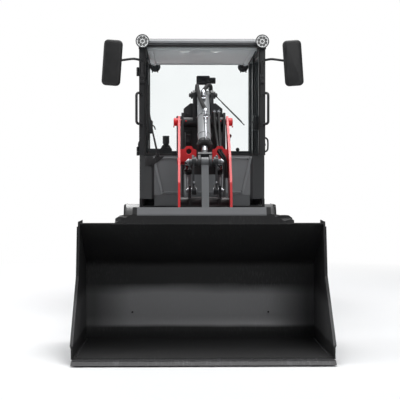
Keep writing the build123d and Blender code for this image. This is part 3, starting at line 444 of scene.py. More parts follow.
class Finish(Enum):
    """Every surface finish of the machine: its maker and its slot in the record."""

    RED = (Paint((206, 22, 30), 0.36, 0.1, 0.05, 0.3), "red_paint")
    # Red arm paint with painted shade on its middle, between the plates and below 1.2 m.
    ARM = (PaintWithPaintedShade((206, 22, 30), 0.36, 0.1, 0.05, 0.3), "red_paint")
    DARK = (Paint((34, 35, 37), 0.42, 0.14), "dark_paint")
    PANEL = (Paint((112, 114, 116), 0.45, 0.12), "dark_paint")
    CAB = (Paint((31, 32, 34), 0.4, 0.1), "dark_paint")
    ROOF = (Paint((118, 120, 122), 0.5, 0.15), "dark_paint")
    # Bucket paint with a painted highlight band low on its back.
    BUCKET = (ScratchedShellWithPaintedHighlight(), "bucket_paint")
    EDGE = (WornSteel((42, 42, 44), (120, 120, 122), 0.9, 0.9), "edge_steel")
    GREY = (Paint((128, 130, 132), 0.4, 0.12), "grey_paint")
    LINK = (Paint((98, 100, 102), 0.42, 0.14), "grey_paint")
    CHROME = (Polished((176, 178, 182), 0.16), "chrome_rod")
    TILT_ROD = (RodAndYoke(), "chrome_rod")
    PIN = (Polished((170, 172, 176), 0.28), "pin_steel")
    TYRE = (Rubber(), "tyre_rubber")
    HOSE = (Rubber((22, 22, 23), (70, 68, 66), 0.25), "tyre_rubber")
    RIM = (Paint((172, 174, 176), 0.42, 0.35), "rim_paint")
    PLASTIC = (Plastic(), "black_plastic")
    HEADLINER = (Plastic((238, 239, 240), 0.75, 0.15), "black_plastic")
    CLOTH = (Fabric(), "seat_cloth")
    GLASS = (ClearPane(), "glass")
    LENS = (ClearPane((254, 254, 254), 0.01, 0.2), "glass")
    CHIP = (Lit((150, 150, 148), 0.1), "black_plastic")
    REFLECTOR = (Polished((226, 228, 230), 0.1), "chrome_rod")
    LENS_WHITE = (Lit((226, 227, 227), 0.42), "black_plastic")
    MIRROR_CASE = (Plastic((13, 13, 14), 0.5, 0.15), "black_plastic")
    RED_LENS = (Lit((150, 12, 14), 0.05), "lamp_red")
    AMBER_LENS = (Lit((222, 118, 18), 0.05), "lamp_red")
    IRON = (Paint((58, 58, 58), 0.6, 0.35), "engine_metal")

    @property
    def material(self) -> bpy.types.Material:
        """The built material, made once."""
        name = f"finish_{self.name.lower()}"
        return bpy.data.materials.get(name) or self.value[0].build(name)

    @property
    def slot(self) -> str:
        """The record's slot that this finish belongs to."""
        return self.value[1]


# --- shapes
@dataclass(frozen=True)
class Look:
    """What a finished piece wears and which body carries it."""

    finish: Finish
    body: str = "rear"
    smooth: float = 35.0


class Shape:
    """One mesh that is modelled in place and then dressed."""

    def __init__(self, name: str) -> None:
        """Take over the object that an operator has just made."""
        self.obj = bpy.context.object
        self.obj.name = name
        self.obj.data.name = name
        bpy.ops.object.transform_apply(location=True, rotation=True, scale=True)

    @staticmethod
    def _clear() -> None:
        """Leave edit mode and deselect everything."""
        if bpy.context.object and bpy.context.object.mode == "EDIT":
            bpy.ops.object.mode_set(mode="OBJECT")
        bpy.ops.object.select_all(action="DESELECT")

    def _pick(self) -> None:
        """Make this the only selected and the active object."""
        self._clear()
        self.obj.select_set(True)
        bpy.context.view_layer.objects.active = self.obj

    @classmethod
    def _loop(cls, name: str, points: Sequence[Point], fill: str) -> "Shape":
        """Ring of points in space, filled or open."""
        cls._clear()
        bpy.ops.mesh.primitive_circle_add(vertices=len(points), radius=1, fill_type=fill)
        shape = cls(name)
        for vertex, point in zip(shape.obj.data.vertices, points):
            vertex.co = point
        return shape

    @classmethod
    def block(cls, name: str, low: Point, high: Point) -> "Shape":
        """Box between two corners."""
        cls._clear()
        centre = [(a + b) / 2 for a, b in zip(low, high)]
        bpy.ops.mesh.primitive_cube_add(size=1, location=centre, scale=[b - a for a, b in zip(low, high)])
        return cls(name)

    @classmethod
    def rod(cls, name: str, start: Point, end: Point, radius: float, sides: int = 32) -> "Shape":
        """Round bar from one point to another."""
        cls._clear()
        along = Vector(end) - Vector(start)
        turn = along.to_track_quat("Z", "Y").to_euler()
        bpy.ops.mesh.primitive_cylinder_add(radius=radius, depth=along.length, vertices=sides, rotation=turn,
                                            location=(Vector(start) + Vector(end)) / 2)
        return cls(name)

    @classmethod
    def ball(cls, name: str, centre: Point, radius: float, squash: Point = (1, 1, 1)) -> "Shape":
        """Ball, flattened by a factor along each axis."""
        cls._clear()
        bpy.ops.mesh.primitive_uv_sphere_add(radius=radius, location=centre, scale=squash, segments=24,
            ring_count=14)
        return cls(name)

    @classmethod
    def heads(cls, name: str, spots: Iterable[Point], step: Point, radius: float,
            bevel: float) -> list["Shape"]:
        """Hex bolt heads that stand up from each spot by a step."""
        return [cls.rod(name, spot, Vector(spot) + Vector(step), radius, 6).round(bevel) for spot in spots]

    @classmethod
    def ring(cls, name: str, centre: Point, axis: Point, radius: float, wire: float,
            sides: int = 48) -> "Shape":
        """Round ring of a wire radius about an axis."""
        cls._clear()
        turn = Vector(axis).to_track_quat("Z", "Y").to_euler()
        bpy.ops.mesh.primitive_torus_add(major_radius=radius, minor_radius=wire, major_segments=sides,
                                         minor_segments=12, location=centre, rotation=turn)
        return cls(name)

    @classmethod
    def plate(cls, name: str, outline: Sequence[Point], along: Point) -> "Shape":
        """Flat plate: an outline of points in space, swept along a vector."""
        shape = cls._loop(name, outline, "NGON")
        shape.edit(lambda face: True)
        bpy.ops.mesh.extrude_region_move(TRANSFORM_OT_translate={"value": along})
        return shape.closed()

    @classmethod
    def turned(cls, name: str, outline: Sequence[Point], centre: Point, axis: Point,
            steps: int = 48) -> "Shape":
        """Closed shape turned about an axis through a centre.

        Args:
            name: Name of the piece.
            outline: Closed outline of radius and distance along the axis.
            centre: Point on the axis that distances are counted from.
            axis: Direction of the axis.
            steps: Number of steps round it.

        Returns:
            The turned shape.
        """
        aim = Vector(axis).normalized()
        side = aim.orthogonal().normalized()
        points = [Vector(centre) + side * reach + aim * along for reach, along in outline]
        shape = cls._loop(name, points, "NOTHING")
        bpy.ops.object.mode_set(mode="EDIT")
        bpy.ops.mesh.select_all(action="SELECT")
        bpy.ops.mesh.spin(steps=steps, angle=math.tau, center=centre, axis=aim)
        return shape.closed()

    @classmethod
    def line(cls, name: str, points: Sequence[Point], radius: float, sides: int = 3) -> "Shape":
        """Round pipe or hose along a smooth line.

        Args:
            name: Name of the piece.
            points: Control points of the line.
            radius: Radius of the pipe.
            sides: Fineness of its round section.

        Returns:
            The closed pipe.
        """
        cls._clear()
        curve = bpy.data.curves.new(name, "CURVE")
        curve.dimensions = "3D"
        curve.bevel_depth = radius
        curve.bevel_resolution = sides
        curve.resolution_u = 8
        curve.use_fill_caps = True
        spline = curve.splines.new("NURBS")
        spline.points.add(len(points) - 1)
        for control, point in zip(spline.points, points):
            control.co = (*point, 1.0)
        spline.order_u = 3
        spline.use_endpoint_u = True
        obj = bpy.data.objects.new(name, curve)
        bpy.context.scene.collection.objects.link(obj)
        bpy.context.view_layer.objects.active = obj
        obj.select_set(True)
        bpy.ops.object.convert(target="MESH")
        return cls(name)

    @classmethod
    def frame(cls, name: str, low: Point, high: Point, border: float, across: int) -> "Shape":
        """Flat rectangular frame between two corners.

        Args:
            name: Name of the piece.
            low: Lowest corner.
            high: Highest corner.
            border: Width of the frame's bars.
            across: Number of the axis that looks through the opening.

        Returns:
            The frame.
        """
        shape = cls.block(name, low, high)
        aim = Vector([1.0 if axis == across else 0.0 for axis in range(3)])
        shape.edit(lambda face: abs(face.normal.dot(aim)) > 0.9)
        bpy.ops.mesh.inset(thickness=border, depth=0, use_individual=True)
        bpy.ops.mesh.bridge_edge_loops()
        shape.closed()
        return shape.round(min(border, 0.006) * 0.3, 2)

    @staticmethod
    def corners(first: Point, last: Point, radius: float, steps: int) -> list[tuple[float, float]]:
        """Outline of a rectangle with rounded corners.

        Args:
            first: Lowest corner.
            last: Highest corner.
            radius: Radius of the corners.
            steps: Steps in each corner.

        Returns:
            The points in order.
        """
        points = []
        for turn, (x, z) in enumerate(((last[0] - radius, last[1] - radius),
                (first[0] + radius, last[1] - radius), (first[0] + radius, first[1] + radius),
                (last[0] - radius, first[1] + radius))):
            for step in range(steps + 1):
                angle = math.pi / 2 * (turn + step / steps)
                points.append((x + radius * math.cos(angle), z + radius * math.sin(angle)))
        return points

    def edit(self, wanted: Callable[[bpy.types.MeshPolygon], bool]) -> "Shape":
        """Enter edit mode with only some faces selected.

        Args:
            wanted: Test that says whether a face is selected.

        Returns:
            The shape itself.
        """
        self._pick()
        mesh = self.obj.data
        picked = {face.index for face in mesh.polygons if wanted(face)}
        corners = {corner for face in mesh.polygons if face.index in picked for corner in face.vertices}
        for face in mesh.polygons:
            face.select = face.index in picked
        for edge in mesh.edges:
            edge.select = False
        for vertex in mesh.vertices:
            vertex.select = vertex.index in corners
        bpy.ops.object.mode_set(mode="EDIT")
        bpy.ops.mesh.select_mode(type="FACE")
        return self

    def facing(self, direction: Point, spread: float = 0.9) -> "Shape":
        """Enter edit mode with the faces that look in a direction selected."""
        aim = Vector(direction).normalized()
        return self.edit(lambda face: face.normal.dot(aim) > spread)

    def inset(self, direction: Point, border: float, depth: float, spread: float = 0.9) -> "Shape":
        """Inset the faces that look in a direction and sink or raise what is inside."""
        self.facing(direction, spread)
        bpy.ops.mesh.inset(thickness=border, depth=0)
        shift = Vector(direction).normalized() * depth
        bpy.ops.mesh.extrude_region_move(TRANSFORM_OT_translate={"value": shift})
        return self.settle()

    def taper(self, direction: Point, factor: Point) -> "Shape":
        """Scale the faces that look in a direction about their own middle."""
        self.facing(direction)
        bpy.ops.transform.resize(value=factor)
        return self.settle()

    def settle(self) -> "Shape":
        """Return to object mode."""
        bpy.ops.object.mode_set(mode="OBJECT")
        return self

    def closed(self) -> "Shape":
        """Merge doubles and point every face outwards."""
        if bpy.context.object.mode != "EDIT":
            self.edit(lambda face: True)
        bpy.ops.mesh.select_all(action="SELECT")
        bpy.ops.mesh.remove_doubles(threshold=MERGE)
        bpy.ops.mesh.normals_make_consistent(inside=False)
        return self.settle()

    def modify(self, kind: str, **settings: object) -> "Shape":
        """Add a modifier with its settings and apply it."""
        self._pick()
        modifier = self.obj.modifiers.new(kind.title(), kind)
        for key, value in settings.items():
            setattr(modifier, key, value)
        bpy.ops.object.modifier_apply(modifier=modifier.name)
        return self

    def round(self, width: float, segments: int = 2, angle: float = 35.0) -> "Shape":
        """Round the sharp edges."""
        return self.modify("BEVEL", width=width, segments=segments, limit_method="ANGLE",
                           angle_limit=math.radians(angle))

    def copy(self, move: Point = (0, 0, 0), matrix: Matrix | None = None) -> "Shape":
        """Copy with its own mesh, moved or carried by a matrix."""
        self._clear()
        twin = self.obj.copy()
        twin.data = self.obj.data.copy()
        bpy.context.scene.collection.objects.link(twin)
        twin.data.transform(matrix or Matrix.Translation(Vector(move)))
        bpy.context.view_layer.objects.active = twin
        twin.select_set(True)
        return Shape(self.obj.name)

    def mirrored(self) -> "Shape":
        """Copy on the other side of the machine's middle plane."""
        return self.copy(matrix=Matrix.Scale(-1, 4, (1, 0, 0))).closed()

    def around(self, count: int, centre: Point, axis: Point, turn: float = math.tau) -> "Shape":
        """Join copies of this shape turned about an axis."""
        copies = [self.copy(matrix=about(centre, Matrix.Rotation(turn * step / count, 4, Vector(axis))))
                  for step in range(1, count)]
        return self.join(copies)

    def join(self, others: Iterable["Shape"]) -> "Shape":
        """Join other shapes into this one.

        Args:
            others: Shapes that are taken in.

        Returns:
            The shape itself.
        """
        others = list(others)
        self._clear()
        for shape in others:
            shape.obj.select_set(True)
        self.obj.select_set(True)
        bpy.context.view_layer.objects.active = self.obj
        if others:
            bpy.ops.object.join()
        return self

    def wear(self, look: Look) -> "Shape":
        """Give the finished piece its material and smooth shading.

        Args:
            look: What it wears and where it rides.

        Returns:
            The shape itself.
        """
        self._pick()
        self.obj.data.materials.clear()
        self.obj.data.materials.append(look.finish.material)
        bpy.ops.object.shade_smooth_by_angle(angle=math.radians(look.smooth))
        LOG.info("%s: %d faces on %s", self.obj.name, len(self.obj.data.polygons), look.body)
        return self

    def dress(self, look: Look) -> "Shape":
        """Finish the piece and let it ride on its body."""
        self.wear(look)
        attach(self.obj, look.body)
        return self

    @classmethod
    def together(cls, parts: list["Shape"], finish: Finish, body: str = "rear") -> "Shape":
        """Join parts into one piece under the first one's name and dress it."""
        return parts[0].join(parts[1:]).dress(Look(finish, body))

    def dress_between(self, look: Look, other: str, start: Point, end: Point) -> "Shape":
        """Finish a hose and bake its placing into its mesh, without a body to ride on."""
        self.wear(look)
        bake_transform(self.obj)
        return self


# --- studio
@dataclass
class Studio:
    """Pale floor, white room, soft lamps and the camera in front of the machine."""

    camera_place: Point = (-0.197, -8.78, 1.13)
    camera_pitch: float = 0.93
    camera_yaw: float = 1.15
    lens: float = 93.9
    floor_size: float = 80.0
    near: float = 3.2
    far: float = 6.5
    room_fade: tuple[float, float] = (-0.3, 0.5)
    room_front: Colour = (0.16, 0.16, 0.17)

    def camera(self) -> None:
        """Place the camera low in front of the bucket."""
        bpy.ops.object.camera_add(location=self.camera_place,
            rotation=(math.radians(90 - self.camera_pitch), 0, math.radians(-self.camera_yaw)))
        camera = bpy.context.object
        camera.data.lens = self.lens
        camera.data.clip_end = 200
        bpy.context.scene.camera = camera

    def floor(self) -> None:
        """Lay a pale floor that turns into the white room further out."""
        bpy.ops.mesh.primitive_plane_add(size=self.floor_size, location=(0, 0, 0))
        floor = bpy.context.object
        floor.name = "floor"
        graph = Graph("pale_floor")
        grain = graph.noise(60.0, 4.0)
        tone = graph.mix(grain * 0.2, rgba(238, 238, 238), rgba(226, 226, 226))
        matt = graph.node("BsdfDiffuse", {}, {"Color": tone, "Normal": graph.bump(grain, 0.05, 0.001)})
        white = graph.node("Emission", {}, {"Color": (1, 1, 1, 1), "Strength": 1.0})
        span = graph.node("VectorMath", {"operation": "LENGTH"}, {0: graph.place()}, out="Value")
        rays = graph.node("LightPath", out="Is Camera Ray")
        share = graph.band(span, self.near, self.far).clamp() * rays
        floor.data.materials.append(graph.done(graph.node("MixShader", {}, {0: share, 1: matt, 2: white})))

    def world(self) -> None:
        """Light the room softly and show it white."""
        world = bpy.data.worlds.new("white_room")
        bpy.context.scene.world = world
        graph = Graph("white_room", world)
        rays = {name: graph.node("LightPath", out=f"Is {name} Ray")
                for name in ("Camera", "Transmission", "Glossy")}
        seen = graph.node("Math", {"operation": "MAXIMUM"}, {0: rays["Camera"], 1: rays["Transmission"]})
        coords = graph.node("TexCoord", out="Generated")
        back = graph.node("SeparateXYZ", {}, {0: coords}, out="Y")
        room = graph.mix(graph.band(back, *self.room_fade), (*self.room_front, 1), (1, 1, 1, 1))
        soft, mirror, white = [
            graph.node("Background", {}, {"Color": colour, "Strength": strength})
            for colour, strength in (((0.93, 0.96, 1.0, 1.0), 0.42), (room, 1.0), ((1, 1, 1, 1), 1.0))]
        glossy = graph.node("MixShader", {}, {0: rays["Glossy"], 1: soft, 2: mirror})
        graph.done(graph.node("MixShader", {}, {0: seen, 1: glossy, 2: white}))

    def lamps(self) -> None:
        """Hang soft lamps above, in front and behind."""
        for name, place, aim, size, power in (
            ("top_lamp", (0.5, -0.5, 7.0), (0, 0, 0), 5.0, 380.0),
            ("front_lamp", (2.8, -7.5, 5.2), (0, 0, 1.1), 3.5, 150.0),
            ("side_lamp", (-6.5, -2.5, 4.5), (0, 0, 1.2), 3.5, 130.0),
            ("back_lamp", (-2.5, 7.5, 5.0), (0, 1, 1.2), 3.5, 220.0)
        ):
            turn = (Vector(aim) - Vector(place)).to_track_quat("-Z", "Y").to_euler()
            bpy.ops.object.light_add(type="AREA", location=place, rotation=turn)
            lamp = bpy.context.object
            lamp.name = name
            lamp.data.size = size
            lamp.data.energy = power

    def build(self) -> None:
        """Set up the whole studio."""
        bpy.context.scene.view_settings.view_transform = "Standard"
        self.camera()
        self.floor()
        self.world()
        self.lamps()


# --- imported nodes
NODE_FINISH = {
    Finish.ARM: ("lift_arm",),
    Finish.RED: ("hood",),
    Finish.BUCKET: ("bucket",),
    Finish.EDGE: ("cutting_edge",),
    Finish.DARK: ("front_frame", "coupler", "rocker", "rear_frame", "front_axle", "rear_axle",
                  "counterweight", "steps", "side_tanks", "rear_fenders", "hood_hinge"),
    Finish.LINK: ("bucket_link", "rocker_top_pin"),
    Finish.GREY: ("tilt_cylinder_barrel", "lift_cylinder_barrels"),
    Finish.TILT_ROD: ("tilt_cylinder_rod",),
    Finish.CHROME: ("lift_cylinder_rods",),
    Finish.PIN: ("rocker_pins", "coupler_pins"),
    Finish.CAB: ("cab_floor", "cab_posts", "cab_walls", "door_hinges", "door_left", "door_right",
                 "grab_handles"),
    Finish.PANEL: ("front_panel",),
    Finish.ROOF: ("roof", "cab_rails"),
    Finish.GLASS: ("windshield", "rear_window", "side_windows", "door_left_glass", "door_right_glass"),
    Finish.PLASTIC: ("console", "steering_column", "seat_base", "mirrors", "mirror_arms", "front_work_lights",
                     "rear_work_lights"),
    Finish.CLOTH: ("seat_cushion", "seat_back"),
    Finish.RED_LENS: ("tail_lights",),
    Finish.IRON: ("engine_block",),
    Finish.TYRE: ("front_left_tyre", "front_right_tyre", "rear_left_tyre", "rear_right_tyre"),
    Finish.RIM: ("front_left_rim", "front_right_rim", "rear_left_rim", "rear_right_rim"),
}


def finish_nodes() -> None:
    """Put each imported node's finish in its material slots."""
    for finish, names in NODE_FINISH.items():
        for name in names:
            node = NODES[name]
            for index in range(max(1, len(node.material_slots))):
                if index < len(node.material_slots):
                    node.material_slots[index].material = finish.material
                else:
                    node.data.materials.append(finish.material)
    missing = set(NODES) - {name for names in NODE_FINISH.values() for name in names}
    LOG.info("nodes without a finish: %s", sorted(missing))


# --- places
def about(centre: Point, turn: Matrix) -> Matrix:
    """A turn made about a point instead of the origin."""
    hub = Matrix.Translation(Vector(centre))
    return hub @ turn @ hub.inverted()


def low(node: str) -> Vector:
    """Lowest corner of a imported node."""
    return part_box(node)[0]


def high(node: str) -> Vector:
    """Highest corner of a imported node."""
    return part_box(node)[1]


def span(first: float, second: float) -> list[float]:
    """Two coordinates in rising order."""
    return sorted((first, second))


def pivot(joint: str) -> Vector:
    """Place of a joint's pin at rest."""
    return Vector(JOINTS[joint]["pos_m"])


# --- wheels
@dataclass
class Wheels:
    """Four lugged tyres on dished rims with their nuts."""

    lugs: int = 20
    lug_height: float = 0.022
    lug_width: float = 0.036
    lug_slope: float = 0.85
    carcass_points: int = 9
    nut_count: int = 8
    nut_circle: float = 0.128
    nut_radius: float = 0.013
    disc_step: float = 0.034
    hub_step: float = 0.045
    cap_radius: float = 0.085
    places: tuple[str, ...] = ("front_left", "front_right", "rear_left", "rear_right")

    def crown(self, reach: float, half: float, radius: float) -> float:
        """Radius of the carcass at a share of its half width from the middle."""
        return radius - self.lug_height - 0.012 * reach ** 2 - 0.045 * max(0.0,
            reach - 0.72) ** 2 / 0.078 * half

    def carcass(self, centre: Vector, radius: float, half: float, bead: float) -> Shape:
        """Spin the tyre's outline about its axle.

        Args:
            centre: Middle of the wheel.
            radius: Outer radius over the lugs.
            half: Half of the tyre's width.
            bead: Radius where it sits on the rim.

        Returns:
            The closed tyre without its lugs.
        """
        tread = [(self.crown(abs(share), half, radius), share * half * 0.9)
                 for share in [step / self.carcass_points * 2 - 1 for step in range(self.carcass_points + 1)]]
        wall = [(radius * 0.9, half * 0.97), (radius * 0.82, half), (radius * 0.81, half * 1.0),
                (radius * 0.8, half * 0.985), (radius * 0.68, half * 0.985), (radius * 0.66, half * 0.995),
                (radius * 0.64, half * 0.975), (bead + 0.022, half * 0.86), (bead + 0.004, half * 0.8),
                (bead, half * 0.76)]
        outline = tread + wall + [(reach, -across) for reach, across in reversed(wall)]
        return Shape.turned("tyre", outline, centre, (1, 0, 0), 80)

    def lug(self, centre: Vector, radius: float, half: float, side: int) -> Shape:
        """Model one slanting tread bar that follows the carcass to the shoulder.

        Args:
            centre: Middle of the wheel.
            radius: Outer radius over the lugs.
            half: Half of the tyre's width.
            side: Side of the tyre, 1 or -1.

        Returns:
            The closed bar at the top of the tyre.
        """
        bar = Shape.block("tyre_lug", (0.012, -self.lug_width / 2, -0.012), (half * 0.97, self.lug_width / 2,
                                                                           self.lug_height))
        bar.edit(lambda face: True)
        bpy.ops.mesh.subdivide(number_cuts=5)
        bar.settle()
        for vertex in bar.obj.data.vertices:
            reach = vertex.co.x / half
            lift = vertex.co.z
            if lift > 0:
                vertex.co.y *= 0.72
            if reach > 0.9 and lift > 0:
                lift *= 0.45
            angle = (vertex.co.y + vertex.co.x * self.lug_slope) / radius
            reach_radius = self.crown(min(1.0, reach), half, radius) + lift
            vertex.co = (side * vertex.co.x, reach_radius * math.sin(angle), reach_radius * math.cos(angle))
            vertex.co += centre
        return bar.closed()

    def tyre(self, centre: Vector, radius: float, half: float, bead: float) -> Shape:
        """Model the tyre with both rows of lugs, offset by half a pitch."""
        pitch = math.tau / self.lugs
        row = self.lug(centre, radius, half, 1).around(self.lugs, centre, (1, 0, 0))
        other = self.lug(centre, radius, half, -1).around(self.lugs, centre, (1, 0, 0))
        other.obj.data.transform(about(centre, Matrix.Rotation(pitch / 2, 4, "X")))
        return self.carcass(centre, radius, half, bead).join([row, other])

    def nuts(self, centre: Vector, face: float, outward: int) -> Shape:
        """Model the ring of wheel nuts of one rim with their studs and washers."""
        disc = centre.copy()
        disc.x = face
        step = Vector((outward, 0, 0))
        arm = Vector((0, 0, self.nut_circle))
        nut = Shape.rod("wheel_nuts", disc + arm, disc + arm + step * 0.02, self.nut_radius, 6).round(0.002)
        stud = Shape.rod("stud", disc + arm, disc + arm + step * 0.034, self.nut_radius * 0.5, 12)
        washer = Shape.rod("washer", disc + arm, disc + arm + step * 0.004, self.nut_radius * 1.35, 20)
        return nut.join([stud, washer]).around(self.nut_count, disc, (1, 0, 0))

    def hub_cap(self, centre: Vector, face: float, outward: int, radius: float) -> Shape:
        """Model the domed hub cap with its stepped rim and small bolts.

        Args:
            centre: Middle of the wheel.
            face: Place of its seat across the machine.
            outward: Side of the machine, 1 or -1.
            radius: Radius of the cap.

        Returns:
            The cap with its bolts.
        """
        base = centre.copy()
        base.x = face
        step = Vector((outward, 0, 0))
        outline = [(0.0, 0.034), (radius * 0.45, 0.033), (radius * 0.6, 0.028), (radius * 0.66, 0.012),
                   (radius * 0.95, 0.01), (radius, 0.004), (radius, 0.0), (0.0, 0.0)]
        cap = Shape.turned("hub_cap", [(reach, outward * along) for reach, along in outline], base,
            (1, 0, 0), 40)
        arm = Vector((0, 0, radius * 0.8))
        bolt = Shape.rod("cap_bolt", base + arm, base + arm + step * 0.018, 0.006, 6)
        return cap.join([bolt.around(6, base, (1, 0, 0))])

    def rim_trim(self, centre: Vector, half: float, bead: float, outward: int) -> Shape:
        """Model the rolled edges of the rim and its valve.

        Args:
            centre: Middle of the wheel.
            half: Half of the tyre's width.
            bead: Radius where the tyre sits.
            outward: Side of the machine, 1 or -1.

        Returns:
            The edges with the valve.
        """
        edge = [(bead - 0.002, half * 0.7), (bead + 0.012, half * 0.745), (bead + 0.016, half * 0.79),
                (bead + 0.01, half * 0.815), (bead - 0.006, half * 0.8), (bead - 0.012, half * 0.74)]
        rolled = Shape.turned("rim_edge", [(reach, outward * across) for reach, across in edge], centre,
            (1, 0, 0), 72)
        inner = Shape.turned("rim_edge_back", [(reach, -outward * across) for reach, across in edge], centre,
                             (1, 0, 0), 72)
        valve = Shape.rod("valve", centre + Vector((outward * half * 0.35, 0, bead - 0.012)),
                          centre + Vector((outward * half * 0.62, 0, bead - 0.03)), 0.006, 12)
        return rolled.join([inner, valve])

    def build(self) -> None:
        """Dress all four wheels."""
        for place in self.places:
            node, rim = f"{place}_tyre", f"{place}_rim"
            centre = (low(node) + high(node)) / 2
            outward = 1 if centre.x > 0 else -1
            radius = (high(node).z - low(node).z) / 2
            half = (high(node).x - low(node).x) / 2
            bead = (high(rim).z - low(rim).z) / 2
            disc_face = centre.x + outward * self.disc_step
            hub_end = centre.x + outward * self.hub_step
            body = f"wheel_{place}"
            tyre = self.tyre(centre, radius, half, bead)
            tyre.obj.name = f"tyre_{place}"
            tyre.dress(Look(Finish.TYRE, body))
            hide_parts(node)
            for name, made, finish in (("wheel_nuts", self.nuts(centre, disc_face, outward), Finish.PIN),
                    ("hub_cap", self.hub_cap(centre, hub_end, outward, self.cap_radius), Finish.RIM),
                    ("rim_edge", self.rim_trim(centre, half, bead, outward), Finish.RIM)):
                made.obj.name = f"{name}_{place}"
                made.dress(Look(finish, body))


# --- bucket
@dataclass
class BucketTrim:
    """Weld beads, corner tabs, drain plugs and edge bolts of the bucket."""

    bead: float = 0.005
    tab_width: float = 0.028
    tab_height: float = 0.02
    edge_depth: float = 0.15
    plug_spread: float = 0.485
    side_wall: float = 0.012
    bolt_count: int = 8

    def tabs(self, left: float, right: float, top: Vector) -> None:
        """Model the raised tab on each top corner of the side plates.

        Args:
            left: Left end across the machine.
            right: Right end across the machine.
            top: Height and depth of the corners.
        """
        tabs = []
        for x, way in ((left, 1), (right, -1)):
            foot = Vector((x, top.y, top.z - 0.012))
            outline = [foot, foot + Vector((way * self.tab_width, 0, 0)),
                       foot + Vector((way * self.tab_width, 0, self.tab_height + 0.012)),
                       foot + Vector((way * self.tab_width * 0.45, 0, self.tab_height + 0.004)),
                       foot + Vector((0, 0, self.tab_height))]
            tabs.append(Shape.plate("bucket_tabs", outline, (0, 0.05, 0)).round(0.002))
        Shape.together(tabs, Finish.BUCKET, "bucket")

    def beads(self, left: float, right: float, base: Vector) -> None:
        """Model the weld beads behind the cutting edge and along the side plates.

        Args:
            left: Left end across the machine.
            right: Right end across the machine.
            base: Front lower corner of the edge.
        """
        rows = []
        for offset, lift in ((self.edge_depth, 0.023), (0.036, 0.0225)):
            rows.append(Shape.rod("bucket_welds", (left, base.y + offset, base.z + lift),
                (right, base.y + offset, base.z + lift), self.bead * (1 if offset > 0.1 else 0.4), 12))
        for x in (left + self.side_wall + 0.004, right - self.side_wall - 0.004):
            rows.append(Shape.rod("side_weld", (x, base.y + 0.16, base.z + 0.03),
                (x, base.y + 0.93, base.z + 0.03), self.bead, 12))
        Shape.together(rows, Finish.EDGE, "bucket")

    def plugs(self, middle: float, back: float, base: Vector) -> None:
        """Model the two small plugs low in the back sheet."""
        plugs = []
        for side in (-1, 1):
            spot = Vector((middle + side * self.plug_spread, back - 0.012, base.z + 0.2))
            plugs.append(Shape.rod("bucket_plugs", spot, spot + Vector((0, 0.012, 0)), 0.007, 16).inset(
                (0, -1, 0), 0.002, -0.002))
        Shape.together(plugs, Finish.PLASTIC, "bucket")

    def wear_strips(self, left: float, right: float, base: Vector) -> None:
        """Model the wear strips under the floor and the edge bolts seen from below.

        Args:
            left: Left end across the machine.
            right: Right end across the machine.
            base: Front lower corner of the edge.
        """
        strips = []
        for step in range(4):
            x = left + 0.2 + step * (right - left - 0.4) / 3
            strip = Shape.block("wear_strips", (x - 0.04, base.y + 0.2, base.z + 0.0),
                (x + 0.04, base.y + 0.86, base.z + 0.0215))
            strips.append(strip.taper((0, -1, 0), (0.8, 1, 0.4)))
        Shape.together(strips, Finish.EDGE, "bucket")
        bolts = []
        for step in range(self.bolt_count):
            x = left + 0.12 + step * (right - left - 0.24) / (self.bolt_count - 1)
            spot = Vector((x, base.y + 0.095, base.z + 0.0205))
            bolts.append(Shape.rod("edge_bolts", spot, spot + Vector((0, 0, 0.004)), 0.014, 20).taper(
                (0, 0, 1), (0.8, 0.8, 1)))
        Shape.together(bolts, Finish.EDGE, "bucket")

    def build(self) -> None:
        """Dress the bucket."""
        left, right = low("cutting_edge").x - 0.007, high("cutting_edge").x + 0.007
        base = low("cutting_edge")
        crest = Vector((0, base.y + 0.57, 0.865))
        self.tabs(left, right, crest)
        self.beads(left + 0.012, right - 0.012, base)
        self.plugs((left + right) / 2, base.y + 1.07 - 0.008, base)
        self.wear_strips(left, right, base)


